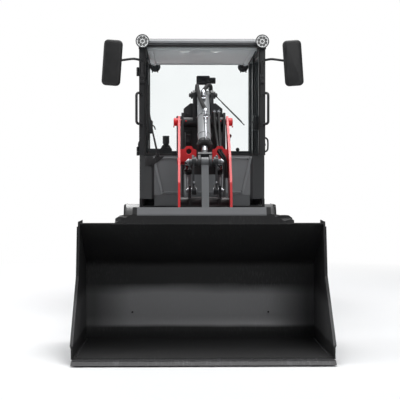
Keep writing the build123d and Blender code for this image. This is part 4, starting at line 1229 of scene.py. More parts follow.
# --- linkage
@dataclass
class LinkageTrim:
    """Pin collars, retaining plates, grease caps, eye rims and bolts of the lifting gear."""

    bolt: float = 0.008

    def capped_pin(self, name: str, spot: Vector, outward: int, radius: float, body: str,
            finish: Finish) -> None:
        """Model a pin's end: a bevelled collar, a sunk face, a retaining plate and its bolt.

        Args:
            name: Name of the piece.
            spot: Middle of the end face.
            outward: Side of the machine, 1 or -1.
            radius: Radius of the collar.
            body: Body that it rides on.
            finish: Its surface.
        """
        step = Vector((outward, 0, 0))
        collar = Shape.rod(name, spot, spot + step * 0.004, radius, 36).round(0.0015).inset(step,
            radius * 0.25, -0.002)
        keeper = Shape.block("keeper", spot + Vector((0.0, -0.011, -radius * 1.5)),
                             spot + Vector((outward * 0.004, 0.011, -radius * 0.5)))
        head = spot + Vector((outward * 0.003, 0, -radius * 1.2))
        bolt = Shape.rod("keeper_bolt", head, head + step * 0.006, self.bolt, 6).round(0.0012)
        collar.join([keeper, bolt]).dress(Look(finish, body))

    def nipples(self, spots: Sequence[Vector], body: str, name: str) -> None:
        """Model small red grease caps that look forward."""
        caps = []
        for spot in spots:
            caps.append(Shape.turned(name, [(0, 0.012), (0.004, 0.011), (0.007, 0.007), (0.007, 0),
                (0, 0)], spot, (0, -1, 0), 20))
        Shape.together(caps, Finish.RED, body)

    def guide_rings(self) -> None:
        """Model the rolled rims round the hose eyes of the arm."""
        front = -0.656
        rings = [Shape.ring("hose_eye_rims", (x, front + 0.006, 1.376), (0, 1, 0), 0.026, 0.006, 40)
                 for x in (-0.12, 0.12)]
        Shape.together(rings, Finish.RED, "arm")

    def rocker_bolts(self) -> None:
        """Model the bolted ends of both pins of the rocker and a grease line on the arm."""
        axle, crest = pivot("rocker_turn"), pivot("link_level")
        for name, spot, body in (("rocker_pin_ends", axle, "rocker_seat"),
                ("rocker_top_ends", crest, "link_seat")):
            ends = []
            for side in (-1, 1):
                foot = spot + Vector((side * 0.1225, 0, 0))
                tip = Shape.rod(name, foot, foot + Vector((side * 0.014, 0, 0)), 0.019, 6).round(0.002)
                washer = Shape.rod("washer", foot, foot + Vector((side * 0.004, 0, 0)), 0.024, 28)
                stud = Shape.rod("stud", foot, foot + Vector((side * 0.021, 0, 0)), 0.009, 16)
                ends.append(tip.join([washer, stud]))
            Shape.together(ends, Finish.PIN, body)
        tops = []
        for side in (-1, 1):
            spot = crest + Vector((side * 0.09, -0.012, 0.036))
            tops.append(Shape.rod("rocker_top_bolts", spot, spot + Vector((0, 0, 0.012)), 0.01,
                6).round(0.0015))
            spot = axle + Vector((side * 0.085, -0.034, 0.06))
            tops.append(Shape.rod("rocker_side_bolts", spot, spot + Vector((0, -0.01, 0)), 0.009,
                6).round(0.0015))
        Shape.together(tops, Finish.PIN, "rocker")
        height = axle.z - 0.062
        Shape.line("arm_grease_lines", [(-0.13, axle.y - 0.03, height), (-0.05, axle.y - 0.034, height),
                                        (0.05, axle.y - 0.034, height), (0.13, axle.y - 0.03, height)],
                   0.004, 2).dress(Look(Finish.DARK, "arm"))

    def build(self) -> None:
        """Dress the lifting gear."""
        hinge = pivot("lift")
        edge = high("lift_arm").x
        for side, tag in ((-1, "right"), (1, "left")):
            self.capped_pin(f"arm_pin_{tag}", Vector((side * edge, hinge.y, hinge.z)), side, 0.031, "arm",
                Finish.RED)
        self.nipples([hinge + Vector((x, -0.04, 0.004)) for x in (-0.14, 0.14)], "front", "arm_grease_caps")
        self.guide_rings()
        self.rocker_bolts()
        foot = pivot("bucket_tilt")
        reach = high("coupler_pins").x
        for side, tag in ((-1, "right"), (1, "left")):
            self.capped_pin(f"coupler_pin_end_{tag}", Vector((side * reach, foot.y, foot.z)), side, 0.03,
                "coupler_seat", Finish.DARK)


# --- hydraulics
@dataclass
class Hydraulics:
    """Cylinder glands, ports, steel pipes and rubber hoses."""

    hose: float = 0.016
    thin_hose: float = 0.010
    pipe: float = 0.007
    tilt_radius: float = 0.05
    gland_at: float = 0.608
    lift_spread: float = 0.126
    rail_x: float = 0.012

    def __post_init__(self) -> None:
        """Work out the line of the tilt cylinder."""
        self.tail = pivot("tilt_barrel_turn")
        crest = pivot("link_level")
        self.along = (crest - self.tail).normalized()
        self.lift = Vector((0, self.along.z, -self.along.y))

    def on_barrel(self, distance: float, height: float, x: float = 0.0) -> Vector:
        """Point above the tilt barrel, a distance from its tail pin."""
        return self.tail + self.along * distance + self.lift * height + Vector((x, 0, 0))

    def fitting(self, name: str, foot: Vector, tip: Vector, radius: float) -> Shape:
        """Model a hex coupling with its crimped sleeve."""
        along = (tip - foot).normalized()
        length = (tip - foot).length
        nut = Shape.rod(name, foot, foot + along * length * 0.4, radius * 1.35, 6).round(0.0012)
        sleeve = Shape.rod("sleeve", foot + along * length * 0.38, tip, radius * 1.18, 20).round(0.0015)
        rib = Shape.rod("rib", foot + along * length * 0.62, foot + along * length * 0.72, radius * 1.3, 20)
        return nut.join([sleeve, rib])

    def tilt_dress(self) -> None:
        """Model the gland, end collar, ports and steel pipe of the tilt cylinder."""
        gland = Shape.turned("tilt_gland", [(0.026, 0), (0.026, 0.05), (0.04, 0.05), (0.052, 0.042),
            (0.057, 0.036), (0.057, 0.014), (0.053, 0.011), (0.053, 0.0)],
            self.on_barrel(self.gland_at - 0.012, 0), self.along, 56)
        slots = Shape.block("slot", (-0.006, -0.006, -0.004), (0.006, 0.006, 0.004))
        slots.obj.data.transform(Matrix.Translation(self.on_barrel(self.gland_at + 0.012, 0.056)))
        ring = slots.around(8, self.on_barrel(self.gland_at, 0), tuple(self.along))
        gland.join([ring]).dress(Look(Finish.PLASTIC, "tilt_barrel"))
        collar = Shape.turned("tilt_collar", [(0.0505, 0), (0.0505, 0.03), (0.054, 0.027), (0.054, 0.003)],
                              self.on_barrel(0.5, 0), self.along, 56)
        collar.dress(Look(Finish.GREY, "tilt_barrel"))
        steel = []
        for distance, x in ((0.12, 0.0), (0.36, 0.012)):
            base = self.on_barrel(distance, self.tilt_radius - 0.004, x)
            block = Shape.block("tilt_ports", (-0.017, -0.017, 0), (0.017, 0.017, 0.03)).round(0.003)
            frame_turn = Matrix((Vector((1, 0, 0)), self.along, self.lift)).transposed().to_4x4()
            block.obj.data.transform(Matrix.Translation(base) @ frame_turn)
            steel.append(block)
            head = self.on_barrel(distance, self.tilt_radius + 0.02, x)
            steel.append(self.fitting("port_nut", head, head - self.along * 0.07 + self.lift * 0.012,
                self.hose))
        rail = [self.on_barrel(along, height, self.rail_x) for along, height in
                ((0.37, 0.07), (0.42, 0.068), (0.5, 0.066), (0.58, 0.066), (0.615, 0.05))]
        steel.append(Shape.line("rail", rail, self.pipe))
        steel.append(self.fitting("rail_nut", self.on_barrel(0.4, 0.069, self.rail_x),
                                  self.on_barrel(0.45, 0.067, self.rail_x), 0.009))
        clamp = Shape.ring("pipe_clamp", self.on_barrel(0.3, 0), self.along, 0.053, 0.003, 48)
        steel.append(clamp)
        Shape.together(steel, Finish.CHROME, "tilt_barrel")

    def tilt_hoses(self) -> None:
        """Model the two large hoses that loop over the tail pin to the barrel."""
        tail = self.tail
        ends = [self.on_barrel(0.05, 0.084, 0.0), self.on_barrel(0.29, 0.084, 0.012)]
        over = {"tilt_hose_left": ([(0.05, 0.12, -0.2), (0.062, 0.12, -0.02), (0.068, 0.07, 0.075),
            (0.05, 0, 0.088), (0.02, -0.028, 0.06)], ends[0], 5),
            "tilt_hose_right": ([(-0.05, 0.12, -0.2), (-0.056, 0.12, -0.02), (-0.05, 0.06, 0.07),
            (-0.05, -0.04, 0.082), (-0.044, -0.12, 0.02), (-0.02, -0.2, -0.075)], ends[1], 4)}
        for name, (offsets, end, free) in over.items():
            points = [(x, tail.y + y, tail.z + z) for x, y, z in offsets] + [end]
            Shape.line(name, points, self.hose, 4).dress_between(
                Look(Finish.HOSE, "front"), "tilt_barrel", (0, tail.y + 0.03, tail.z + 0.09), points[free])

    def arm_hoses(self) -> None:
        """Model the two hoses from the tower through the eye of the arm."""
        hinge = pivot("lift")
        for name, top_x, eye_x, low_x in (("arm_hose_inner", 0.088, 0.109, 0.157),
                                          ("arm_hose_outer", 0.123, 0.13, 0.176)):
            top = Vector((top_x, hinge.y - 0.035, hinge.z + 0.083))
            points = [top, top + Vector((0, -0.05, -0.012)),
                (top_x + 0.004, hinge.y - 0.17, hinge.z - 0.06),
                (eye_x - 0.004, hinge.y - 0.29, hinge.z - 0.17), (eye_x, hinge.y - 0.385, hinge.z - 0.237),
                (eye_x + 0.004, hinge.y - 0.42, hinge.z - 0.262), (low_x, hinge.y - 0.43, hinge.z - 0.32),
                (low_x, hinge.y - 0.44, hinge.z - 0.46)]
            Shape.line(name, points, self.thin_hose, 4).dress_between(
                Look(Finish.HOSE, "front"), "arm", (0, hinge.y - 0.05, hinge.z + 0.05),
                (0, hinge.y - 0.36, hinge.z - 0.23))
            elbow = Shape.line(f"{name}_elbow",
                [top + Vector((0, 0.05, -0.09)), top + Vector((0, 0.045, -0.01)),
                top + Vector((0, 0.012, 0.008)), top + Vector((0, -0.02, 0.0))], 0.011, 4)
            nut = self.fitting("elbow_nut", top + Vector((0, 0.0, 0.004)),
                top + Vector((0, -0.035, -0.006)), 0.0105)
            elbow.join([nut]).dress(Look(Finish.CHROME, "front"))

    def lift_dress(self) -> None:
        """Model the glands and feed pipes of the two lift cylinders."""
        foot, eye = pivot("lift_barrel_turn"), Vector((0, -0.56, 1.3))
        aim = (eye - foot).normalized()
        reach = (eye - foot).length - 0.09
        off = Vector((0, aim.z, -aim.y))
        glands, pipes = [], []
        for side in (-1, 1):
            base = Vector((side * self.lift_spread, foot.y, foot.z))
            glands.append(Shape.turned("lift_glands", [(0.0205, 0), (0.0205, 0.036), (0.028, 0.036),
                (0.033, 0.03), (0.033, 0.006), (0.029, 0.0)], base + aim * (reach - 0.014), aim, 44))
            run = [base + aim * distance - off * height for distance, height in ((0.12, 0.03),
                (0.13, 0.046), (0.3, 0.047), (0.6, 0.047), (reach - 0.05, 0.046), (reach - 0.035, 0.03))]
            pipes.append(Shape.line("lift_pipes", run, 0.006))
        Shape.together(glands, Finish.PLASTIC, "lift_barrels")
        Shape.together(pipes, Finish.PIN, "lift_barrels")

    def joint_hoses(self) -> None:
        """Model the bundle of hoses between the two halves of the machine."""
        middle = pivot("steer").y
        front_wall, rear_wall = middle - 0.225, middle + 0.2
        for number, (x, z) in enumerate(((-0.12, 0.76), (-0.07, 0.79), (0.07, 0.79), (0.12, 0.76))):
            out = 0.05 if x > 0 else -0.05
            points = [(x, front_wall - 0.004, z), (x, front_wall + 0.06, z),
                (x + out, middle - 0.08, z - 0.05), (x + out * 1.5, middle, z - 0.075),
                (x + out, middle + 0.08, z - 0.05), (x, rear_wall - 0.06, z), (x, rear_wall + 0.004, z)]
            Shape.line(f"joint_hose_{number}", points, self.thin_hose, 4).dress_between(
                Look(Finish.HOSE, "front"), "rear", (0, front_wall + 0.06, 0.7), (0, rear_wall - 0.06, 0.7))

    def build(self) -> None:
        """Dress the cylinders and run the hoses."""
        self.tilt_dress()
        self.tilt_hoses()
        self.arm_hoses()
        self.lift_dress()
        self.joint_hoses()


# --- tower
@dataclass
class TowerTrim:
    """Covers, bolts and pipes of the lifting tower."""

    inner: float = 0.16

    def covers(self) -> None:
        """Model the sunk cover plates and valve boxes between the tower's sides."""
        covers = []
        for side in (-1, 1):
            xs = span(side * 0.088, side * (self.inner - 0.003))
            cover = Shape.block("tower_covers", (xs[0], -0.216, 1.24), (xs[1], -0.203, 1.56)).round(0.003)
            cover.inset((0, -1, 0), 0.012, -0.005)
            box = Shape.block("valve_box", (xs[0] + 0.008, -0.25, 1.46),
                (xs[1] - 0.01, -0.215, 1.53)).round(0.004)
            box.inset((0, -1, 0), 0.008, -0.01)
            covers += [cover, box]
        Shape.together(covers, Finish.DARK, "front")

    def pipes(self) -> None:
        """Model the grey steel pipes that climb the tower's sides."""
        pipes = []
        for x in (-0.148, 0.142, 0.154):
            pipes.append(Shape.line("tower_pipes", [(x, -0.212, 1.1), (x, -0.24, 1.12), (x, -0.258, 1.2),
                (x, -0.262, 1.4), (x, -0.262, 1.5), (x, -0.24, 1.545)], 0.0065))
        clips = [Shape.block("clip", (x - 0.012, -0.272, z), (x + 0.012, -0.214, z + 0.02)).round(0.003)
                 for x in (-0.148, 0.148) for z in (1.22, 1.4)]
        Shape.together(pipes + clips, Finish.LINK, "front")

    def bolts(self) -> None:
        """Model the bolts of the tower's rear plate and the caps of its top pin."""
        spots = [(x, -0.201, z) for x, z in ((-0.13, 1.7), (0.13, 1.7), (-0.12, 1.25), (0.12, 1.25))]
        bolts = Shape.heads("tower_bolts", spots, (0, -0.008, 0), 0.009, 0.0012)
        Shape.together(bolts, Finish.DARK, "front")
        tail = pivot("tilt_barrel_turn")
        caps = []
        for side in (-1, 1):
            spot = tail + Vector((side * 0.0865, 0, 0))
            caps.append(Shape.turned("top_pin_caps",
                [(0, side * 0.03), (0.012, side * 0.03), (0.017, side * 0.026), (0.018, side * 0.014),
                (0.028, side * 0.013), (0.03, side * 0.009), (0.03, 0), (0, 0)], spot, (1, 0, 0), 36))
        Shape.together(caps, Finish.PLASTIC, "front")

    def build(self) -> None:
        """Dress the tower."""
        self.covers()
        self.pipes()
        self.bolts()


# --- cab
@dataclass
class RoundLamp:
    """Round work lamp: finned housing, pale dish, grey chips in dark cups and a clear lens."""

    centre: Vector
    forward: int
    radius: float
    depth: float = 0.05
    chips: int = 8
    cup: tuple[tuple[float, float], ...] = ((0.0068, 0), (0.0105, 0), (0.0112, 0.0045), (0.0082, 0.0045))
    core: tuple[tuple[float, float], ...] = ((0, 0), (0.0072, 0), (0.006, 0.0025), (0, 0.0032))

    def at(self, along: float) -> Vector:
        """Point on the lamp's axis, counted from its back towards its lens."""
        return self.centre + Vector((0, self.forward * (along - self.depth / 2), 0))

    def housing(self) -> Shape:
        """Turn the finned housing with its hollow front."""
        rim = self.radius
        outline = [(0, 0), (rim * 0.5, 0), (rim * 0.62, 0.005)]
        for groove in (0.008, 0.0155, 0.023):
            outline += [(rim * 0.93, groove), (rim * 0.93, groove + 0.0035), (rim * 0.8, groove + 0.004)]
        outline += [(rim * 0.97, 0.031), (rim, 0.034), (rim, self.depth - 0.003),
            (rim * 0.965, self.depth), (rim * 0.9, self.depth), (rim * 0.87, self.depth - 0.004),
            (rim * 0.8, self.depth - 0.014), (0, self.depth - 0.014)]
        return Shape.turned("lamp_housing", outline, self.at(0), (0, self.forward, 0), 56)

    def dish(self) -> Shape:
        """Turn the pale dish behind the chips."""
        back, rim = self.depth - 0.0135, self.radius
        outline = [(0, back), (rim * 0.79, back), (rim * 0.86, self.depth - 0.005),
            (rim * 0.83, self.depth - 0.005), (rim * 0.77, back + 0.002), (0, back + 0.002)]
        return Shape.turned("lamp_dish", outline, self.at(0), (0, self.forward, 0), 56)

    def ringed(self, name: str, outline: Sequence[tuple[float, float]], steps: int) -> list[Shape]:
        """Turn a small outline round each chip's place: eight in a ring and one in the middle."""
        reach, spot = self.radius * 0.55, self.at(self.depth - 0.0115)
        made = []
        for step in range(self.chips + 1):
            angle = math.tau * (step + 0.5) / self.chips
            offset = Vector((math.cos(angle), 0, math.sin(angle))) * (reach if step < self.chips else 0)
            made.append(Shape.turned(name, outline, spot + offset, (0, self.forward, 0), steps))
        return made

    def lens(self) -> Shape:
        """Turn the clear lens."""
        front, rim = self.depth - 0.003, self.radius
        outline = [(0, front), (rim * 0.88, front), (rim * 0.88, front + 0.0015), (0, front + 0.0025)]
        return Shape.turned("lamp_lens", outline, self.at(0), (0, self.forward, 0), 48)

    def bracket(self, top: float) -> Shape:
        """Bend the strap below the lamp and its two clamp bolts.

        Args:
            top: Height of the roof edge that the strap is held by.

        Returns:
            The strap with its bolts.
        """
        x, y, z = self.centre
        side = self.radius * 0.5
        back = y - self.forward * (self.depth / 2 + 0.012)
        ys = sorted((back, y - self.forward * 0.006))
        parts = [Shape.block("lamp_strap", (x - 0.014, ys[0], top - 0.004),
            (x + 0.014, ys[1], top + 0.006)).round(0.002),
            Shape.rod("bolt", (x - side, ys[0] + 0.012, z - 0.044), (x - side, ys[0] + 0.012, z - 0.062),
            0.006, 6), Shape.rod("bolt", (x + side, ys[0] + 0.012, z - 0.044),
            (x + side, ys[0] + 0.012, z - 0.062), 0.006, 6)]
        return parts[0].join(parts[1:])


@dataclass
class CabTrim:
    """Lamps, mirrors, seals, wiper, handles and headliner of the cab."""

    seal: float = 0.013
    mirror_roll: float = 4.0
    mirror_width: float = 0.185
    lamp_shelf: float = 2.316
    door_face: float = 0.5355
    hinge_x: float = 0.548
    plate_face: float = 0.0695

    def lamps(self) -> None:
        """Replace the plain lamps with finned ones that have chips and lenses."""
        for node, radius, forward in (("front_work_lights", 0.0575, -1), ("rear_work_lights", 0.052, 1)):
            first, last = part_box(node)
            y = first.y + 0.025 if forward < 0 else last.y - 0.025
            lamps = [RoundLamp(Vector((side * (last.x - radius), y, last.z - radius if forward < 0 else
                                       first.z + radius)), forward, radius) for side in (-1, 1)]
            housings = [lamp.housing() for lamp in lamps] + [lamp.bracket(self.lamp_shelf) for lamp in lamps]
            housing = Shape.together(housings, Finish.PLASTIC)
            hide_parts(node)
            lamps[0].dish().join([lamps[1].dish()]).dress(Look(Finish.LENS_WHITE))
            cups = [cup for lamp in lamps for cup in lamp.ringed("lamp_cups", lamp.cup, 16)]
            Shape.together(cups, Finish.MIRROR_CASE)
            cores = [core for lamp in lamps for core in lamp.ringed("lamp_cores", lamp.core, 12)]
            Shape.together(cores, Finish.CHIP)
            lamps[0].lens().join([lamps[1].lens()]).dress(Look(Finish.LENS))

    def mirror_cases(self) -> None:
        """Replace the plain mirrors with crowned, slightly rolled cases and their glass."""
        first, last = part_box("mirrors")
        width = self.mirror_width
        middle_x = last.x - width / 2
        roll = Matrix.Rotation(math.radians(-self.mirror_roll), 4, "Y")
        outline = Shape.corners((middle_x - width / 2 + 0.015, first.z + 0.006),
                                (middle_x + width / 2 - 0.015, last.z - 0.006), 0.036, 6)
        case = Shape.plate("mirror_cases", [(x, last.y - 0.004, z) for x, z in outline], (0, -0.022, 0))
        case.facing((0, -1, 0))
        bpy.ops.mesh.inset(thickness=0.008, depth=0)
        bpy.ops.transform.translate(value=(0, -0.009, 0))
        bpy.ops.mesh.inset(thickness=0.018, depth=0)
        bpy.ops.transform.translate(value=(0, -0.006, 0))
        case.settle()
        case.inset((0, 1, 0), 0.007, -0.005)
        case.round(0.003, 2, 25)
        pane = Shape.plate("mirror_glass",
            [(middle_x + (x - middle_x) * 0.9, last.y - 0.0095, first.z + 0.2 + (z - first.z - 0.2) * 0.95)
            for x, z in outline], (0, 0.0018, 0)).round(0.0006)
        for shape in (case, pane):
            shape.obj.data.transform(about((middle_x, 0, (first.z + last.z) / 2), roll))
        case.join([case.mirrored()]).dress(Look(Finish.MIRROR_CASE, smooth=45))
        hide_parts("mirrors")
        Shape.together([pane, pane.mirrored()], Finish.REFLECTOR)

    def mirror_clamps(self) -> None:
        """Model the clamp blocks at the posts and the rings where the arm meets the case."""
        parts = []
        for side in (-1, 1):
            xs = span(side * 0.489, side * 0.527)
            for z in (1.985, 2.03):
                block = Shape.block("mirror_clamps", (xs[0], 0.018, z - 0.012),
                    (xs[1], 0.063, z + 0.012)).round(0.004)
                bolt = Shape.rod("bolt", (side * 0.495, 0.02, z), (side * 0.495, 0.012, z), 0.006,
                    6).round(0.001)
                parts += [block, bolt]
            spot = Vector((side * 0.7495, -0.111, 2.125))
            parts.append(Shape.turned("ring", [(0.012, 0), (0.026, 0), (0.026, 0.006), (0.02, 0.014),
                (0.012, 0.014)], spot, (0, 1, 0), 32))
        Shape.together(parts, Finish.PLASTIC)

    def seals(self) -> None:
        """Model the rubber seals round every pane."""
        first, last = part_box("windshield")
        strips = [Shape.frame("window_seals", (first.x, first.y - 0.004, first.z),
            (last.x, first.y + 0.001, last.z), self.seal, 1)]
        first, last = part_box("rear_window")
        strips.append(Shape.frame("seal", (first.x, last.y - 0.001, first.z),
            (last.x, last.y + 0.004, last.z), self.seal, 1))
        first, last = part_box("side_windows")
        for side in (-1, 1):
            xs = span(side * (last.x - 0.001), side * (last.x + 0.003))
            strips.append(Shape.frame("seal", (xs[0], first.y + 0.001, first.z + 0.001),
                                      (xs[1], last.y - 0.001, last.z - 0.001), 0.011, 0))
        Shape.together(strips, Finish.HOSE)
        for name, side in (("left", 1), ("right", -1)):
            first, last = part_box(f"door_{name}_glass")
            face = side * self.door_face
            xs = sorted((face - side * 0.006, face))
            step = 0.189 + 0.048
            points = [(step, first.z), (last.y, first.z), (last.y, last.z), (first.y, last.z),
                (first.y, 1.423), (step, 1.423)]
            loop = []
            for index, (y, z) in enumerate(points):
                after = points[(index + 1) % len(points)]
                low_y, high_y = sorted((y, after[0]))
                low_z, high_z = sorted((z, after[1]))
                loop.append(Shape.block("door_seals", (xs[0], low_y - 0.006, low_z - 0.006),
                                        (xs[1], high_y + 0.006, high_z + 0.006)).round(0.002))
            Shape.together(loop, Finish.HOSE, f"door_{name}")

    def wiper(self) -> None:
        """Model the windscreen wiper with its motor plate, arm and blade."""
        plate = Shape.plate("wiper_plate", [(-0.49, 0.063, 1.355), (-0.32, 0.063, 1.355),
            (-0.43, 0.063, 1.27), (-0.49, 0.063, 1.27)], (0, -0.004, 0)).round(0.0015)
        bolts = Shape.heads("bolt", ((-0.465, 0.06, 1.335), (-0.44, 0.06, 1.292)), (0, -0.0055, 0), 0.007,
            0.001)
        spindle = Shape.turned("spindle", [(0, 0), (0.017, 0), (0.015, 0.008), (0.009, 0.01),
            (0.009, 0.012), (0, 0.0125)], (-0.378, 0.0605, 1.37), (0, -1, 0), 32)
        arm = Shape.plate("arm", [(-0.386, 0.054, 1.366), (-0.368, 0.054, 1.371), (-0.412, 0.054, 1.56),
            (-0.456, 0.054, 1.796), (-0.464, 0.054, 1.794), (-0.425, 0.054, 1.555)], (0, -0.004, 0))
        rail = Shape.rod("arm_rod", (-0.416, 0.0525, 1.56), (-0.459, 0.0535, 1.79), 0.0035, 12)
        plate.join([spindle, arm.round(0.0012), rail] + bolts).dress(Look(Finish.PLASTIC))
        back = Shape.block("wiper_blade", (-0.467, 0.0515, 1.49), (-0.453, 0.0585, 1.96)).round(0.0025)
        lip = Shape.plate("lip", [(-0.4615, 0.058, 1.492), (-0.4585, 0.058, 1.492), (-0.4595, 0.0632, 1.492),
                                  (-0.4605, 0.0632, 1.492)], (0, 0, 0.466))
        clips = [Shape.block("clip", (-0.47, 0.0495, z), (-0.45, 0.0585, z + 0.02)).round(0.0025)
                 for z in (1.56, 1.65, 1.78, 1.88)]
        back.join([lip] + clips).dress(Look(Finish.HOSE))

    def rear_wiper(self) -> None:
        """Model the rear wiper's motor inside and its arm outside the rear window."""
        _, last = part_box("rear_window")
        inner, outer = 1.362, last.y + 0.004
        motor = Shape.block("rear_wiper_motor", (-0.029, inner - 0.075, 2.08),
            (0.1, inner - 0.004, 2.165)).round(0.012, 3)
        cap = Shape.turned("cap", [(0, 0), (0.026, 0), (0.03, 0.006), (0.03, 0.05), (0.026, 0.056),
            (0, 0.056)], (0.1, inner - 0.04, 2.12), (1, 0, 0), 28)
        motor.join([cap]).dress(Look(Finish.PLASTIC))
        arm = Shape.line("rear_wiper_arm", [(0.066, outer + 0.014, 2.069), (0.2, outer + 0.016, 1.94),
                                            (0.414, outer + 0.012, 1.727)], 0.005)
        hub = Shape.turned("hub", [(0, 0), (0.016, 0), (0.013, 0.02), (0, 0.022)],
            (0.066, outer - 0.003, 2.069), (0, 1, 0), 24)
        blade = Shape.line("blade", [(0.22, outer + 0.007, 1.914), (0.33, outer + 0.007, 1.804),
                                     (0.44, outer + 0.007, 1.694)], 0.005)
        arm.join([hub, blade]).dress(Look(Finish.PLASTIC))

    def headliner(self) -> None:
        """Model the padded headliner, its front visor band and two flat dome lamps."""
        liner = Shape.block("headliner", (-0.475, 0.128, 2.282), (0.475, 1.312, 2.3105)).round(0.01, 3)
        liner.inset((0, 0, -1), 0.05, 0.006)
        visor = Shape.block("visor", (-0.47, 0.127, 2.262), (0.47, 0.2, 2.29)).round(0.009, 3)
        liner.join([visor]).dress(Look(Finish.HEADLINER))
        bowls = []
        for x in (-0.147, 0.12):
            bowls.append(Shape.turned("dome_lamps", [(0, 0), (0.05, 0), (0.052, 0.004), (0.046, 0.017),
                (0.03, 0.024), (0, 0.026)], (x, 0.24, 2.284), (0, 0, -1), 40))
        Shape.together(bowls, Finish.LENS_WHITE)

    def latches(self) -> None:
        """Model door handles outside, latch boxes inside and the hinge pins."""
        for name, side, y, hinge_y in (("left", 1, 0.19, 0.874), ("right", -1, 0.815, 0.115)):
            body = f"door_{name}"
            xs = span(side * self.door_face, side * (self.door_face + 0.005))
            plate = Shape.block("door_handles", (xs[0], y - 0.035, 1.39), (xs[1], y + 0.035, 1.53)).round(
                0.002)
            grip = Shape.line("grip", [(side * 0.541, y, 1.4), (side * 0.566, y, 1.405),
                (side * 0.568, y, 1.46), (side * 0.566, y, 1.515), (side * 0.541, y, 1.52)], 0.0075)
            lock = Shape.turned("lock", [(0, 0), (0.011, 0), (0.011, 0.006), (0.008, 0.009), (0, 0.009)],
                                (side * 0.539, y - 0.002, 1.37 + 0.09), (side, 0, 0), 24)
            plate.join([grip, lock]).dress(Look(Finish.PLASTIC, body))
            xs = span(side * 0.44, side * 0.494)
            box = Shape.block("latch_boxes", (xs[0], y - 0.045, 1.585), (xs[1], y + 0.045, 1.705)).round(
                0.008, 3)
            box.inset((-side, 0, 0), 0.012, -0.006)
            knob = Shape.line("knob", [(side * 0.441, y, 1.66), (side * 0.42, y, 1.655),
                (side * 0.415, y, 1.62)], 0.006)
            box.join([knob]).dress(Look(Finish.PLASTIC, body))
            pins = [Shape.turned("hinge_pins", [(0, 0), (0.0075, 0), (0.0075, 0.004), (0.005, 0.0065),
                (0, 0.0065)], (side * self.hinge_x, hinge_y, z + 0.036), (0, 0, 1), 20)
                for z in (1.4, 2.075)]
            Shape.together(pins, Finish.PIN, body)

    def buffers(self) -> None:
        """Model the rubber cones that stop the opened doors and the cab's rubber mounts."""
        cones = []
        for side, y in ((-1, 1.08), (1, 1.02)):
            cones.append(Shape.turned("door_buffers", [(0, 0), (0.017, 0), (0.017, 0.006), (0.012, 0.03),
                (0.008, 0.036), (0, 0.037)], (side * self.door_face, y, 1.463), (side, 0, 0), 28))
        for x in (-0.2, 0.2):
            for y in (0.32, 1.2):
                cones.append(Shape.turned("mount", [(0, 0), (0.045, 0), (0.05, 0.006), (0.042, 0.014),
                    (0.05, 0.022), (0.045, 0.028), (0, 0.028)], (x, y, low("cab_floor").z - 0.028),
                    (0, 0, 1), 32))
        Shape.together(cones, Finish.HOSE)

    def roof_lip(self) -> None:
        """Model the rain gutter below the roof's edge and the beacon socket on it."""
        first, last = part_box("roof")
        gutter = Shape.frame("roof_gutter", (first.x + 0.001, first.y + 0.001, first.z - 0.004),
                             (last.x - 0.001, last.y - 0.001, first.z + 0.006), 0.009, 2)
        socket = Shape.turned("socket", [(0, 0), (0.016, 0), (0.016, 0.012), (0.012, 0.02), (0, 0.02)],
                              (0.4, 1.2, last.z - 0.001), (0, 0, 1), 28)
        gutter.join([socket]).dress(Look(Finish.PLASTIC))

    def panel_trim(self) -> None:
        """Model the grey trapezoid plate below the windscreen with its bolts."""
        face = self.plate_face
        plate = Shape.plate("front_plate", [(-0.424, face, 1.358), (0.424, face, 1.358), (0.347, face, 1.034),
                                            (-0.347, face, 1.034)], (0, -0.004, 0)).round(0.0015)
        plate.inset((0, -1, 0), 0.02, -0.0018)
        plate.dress(Look(Finish.PANEL))
        spots = [(x, 0.0665, z) for x, z in ((-0.385, 1.335), (0.385, 1.335), (-0.335, 1.06), (0.335, 1.06))]
        bolts = Shape.heads("plate_bolts", spots, (0, -0.006, 0), 0.0075, 0.001)
        Shape.together(bolts, Finish.DARK)

    def build(self) -> None:
        """Dress the cab."""
        self.lamps()
        self.mirror_cases()
        self.mirror_clamps()
        self.seals()
        self.wiper()
        self.rear_wiper()
        self.headliner()
        self.latches()
        self.buffers()
        self.roof_lip()
        self.panel_trim()


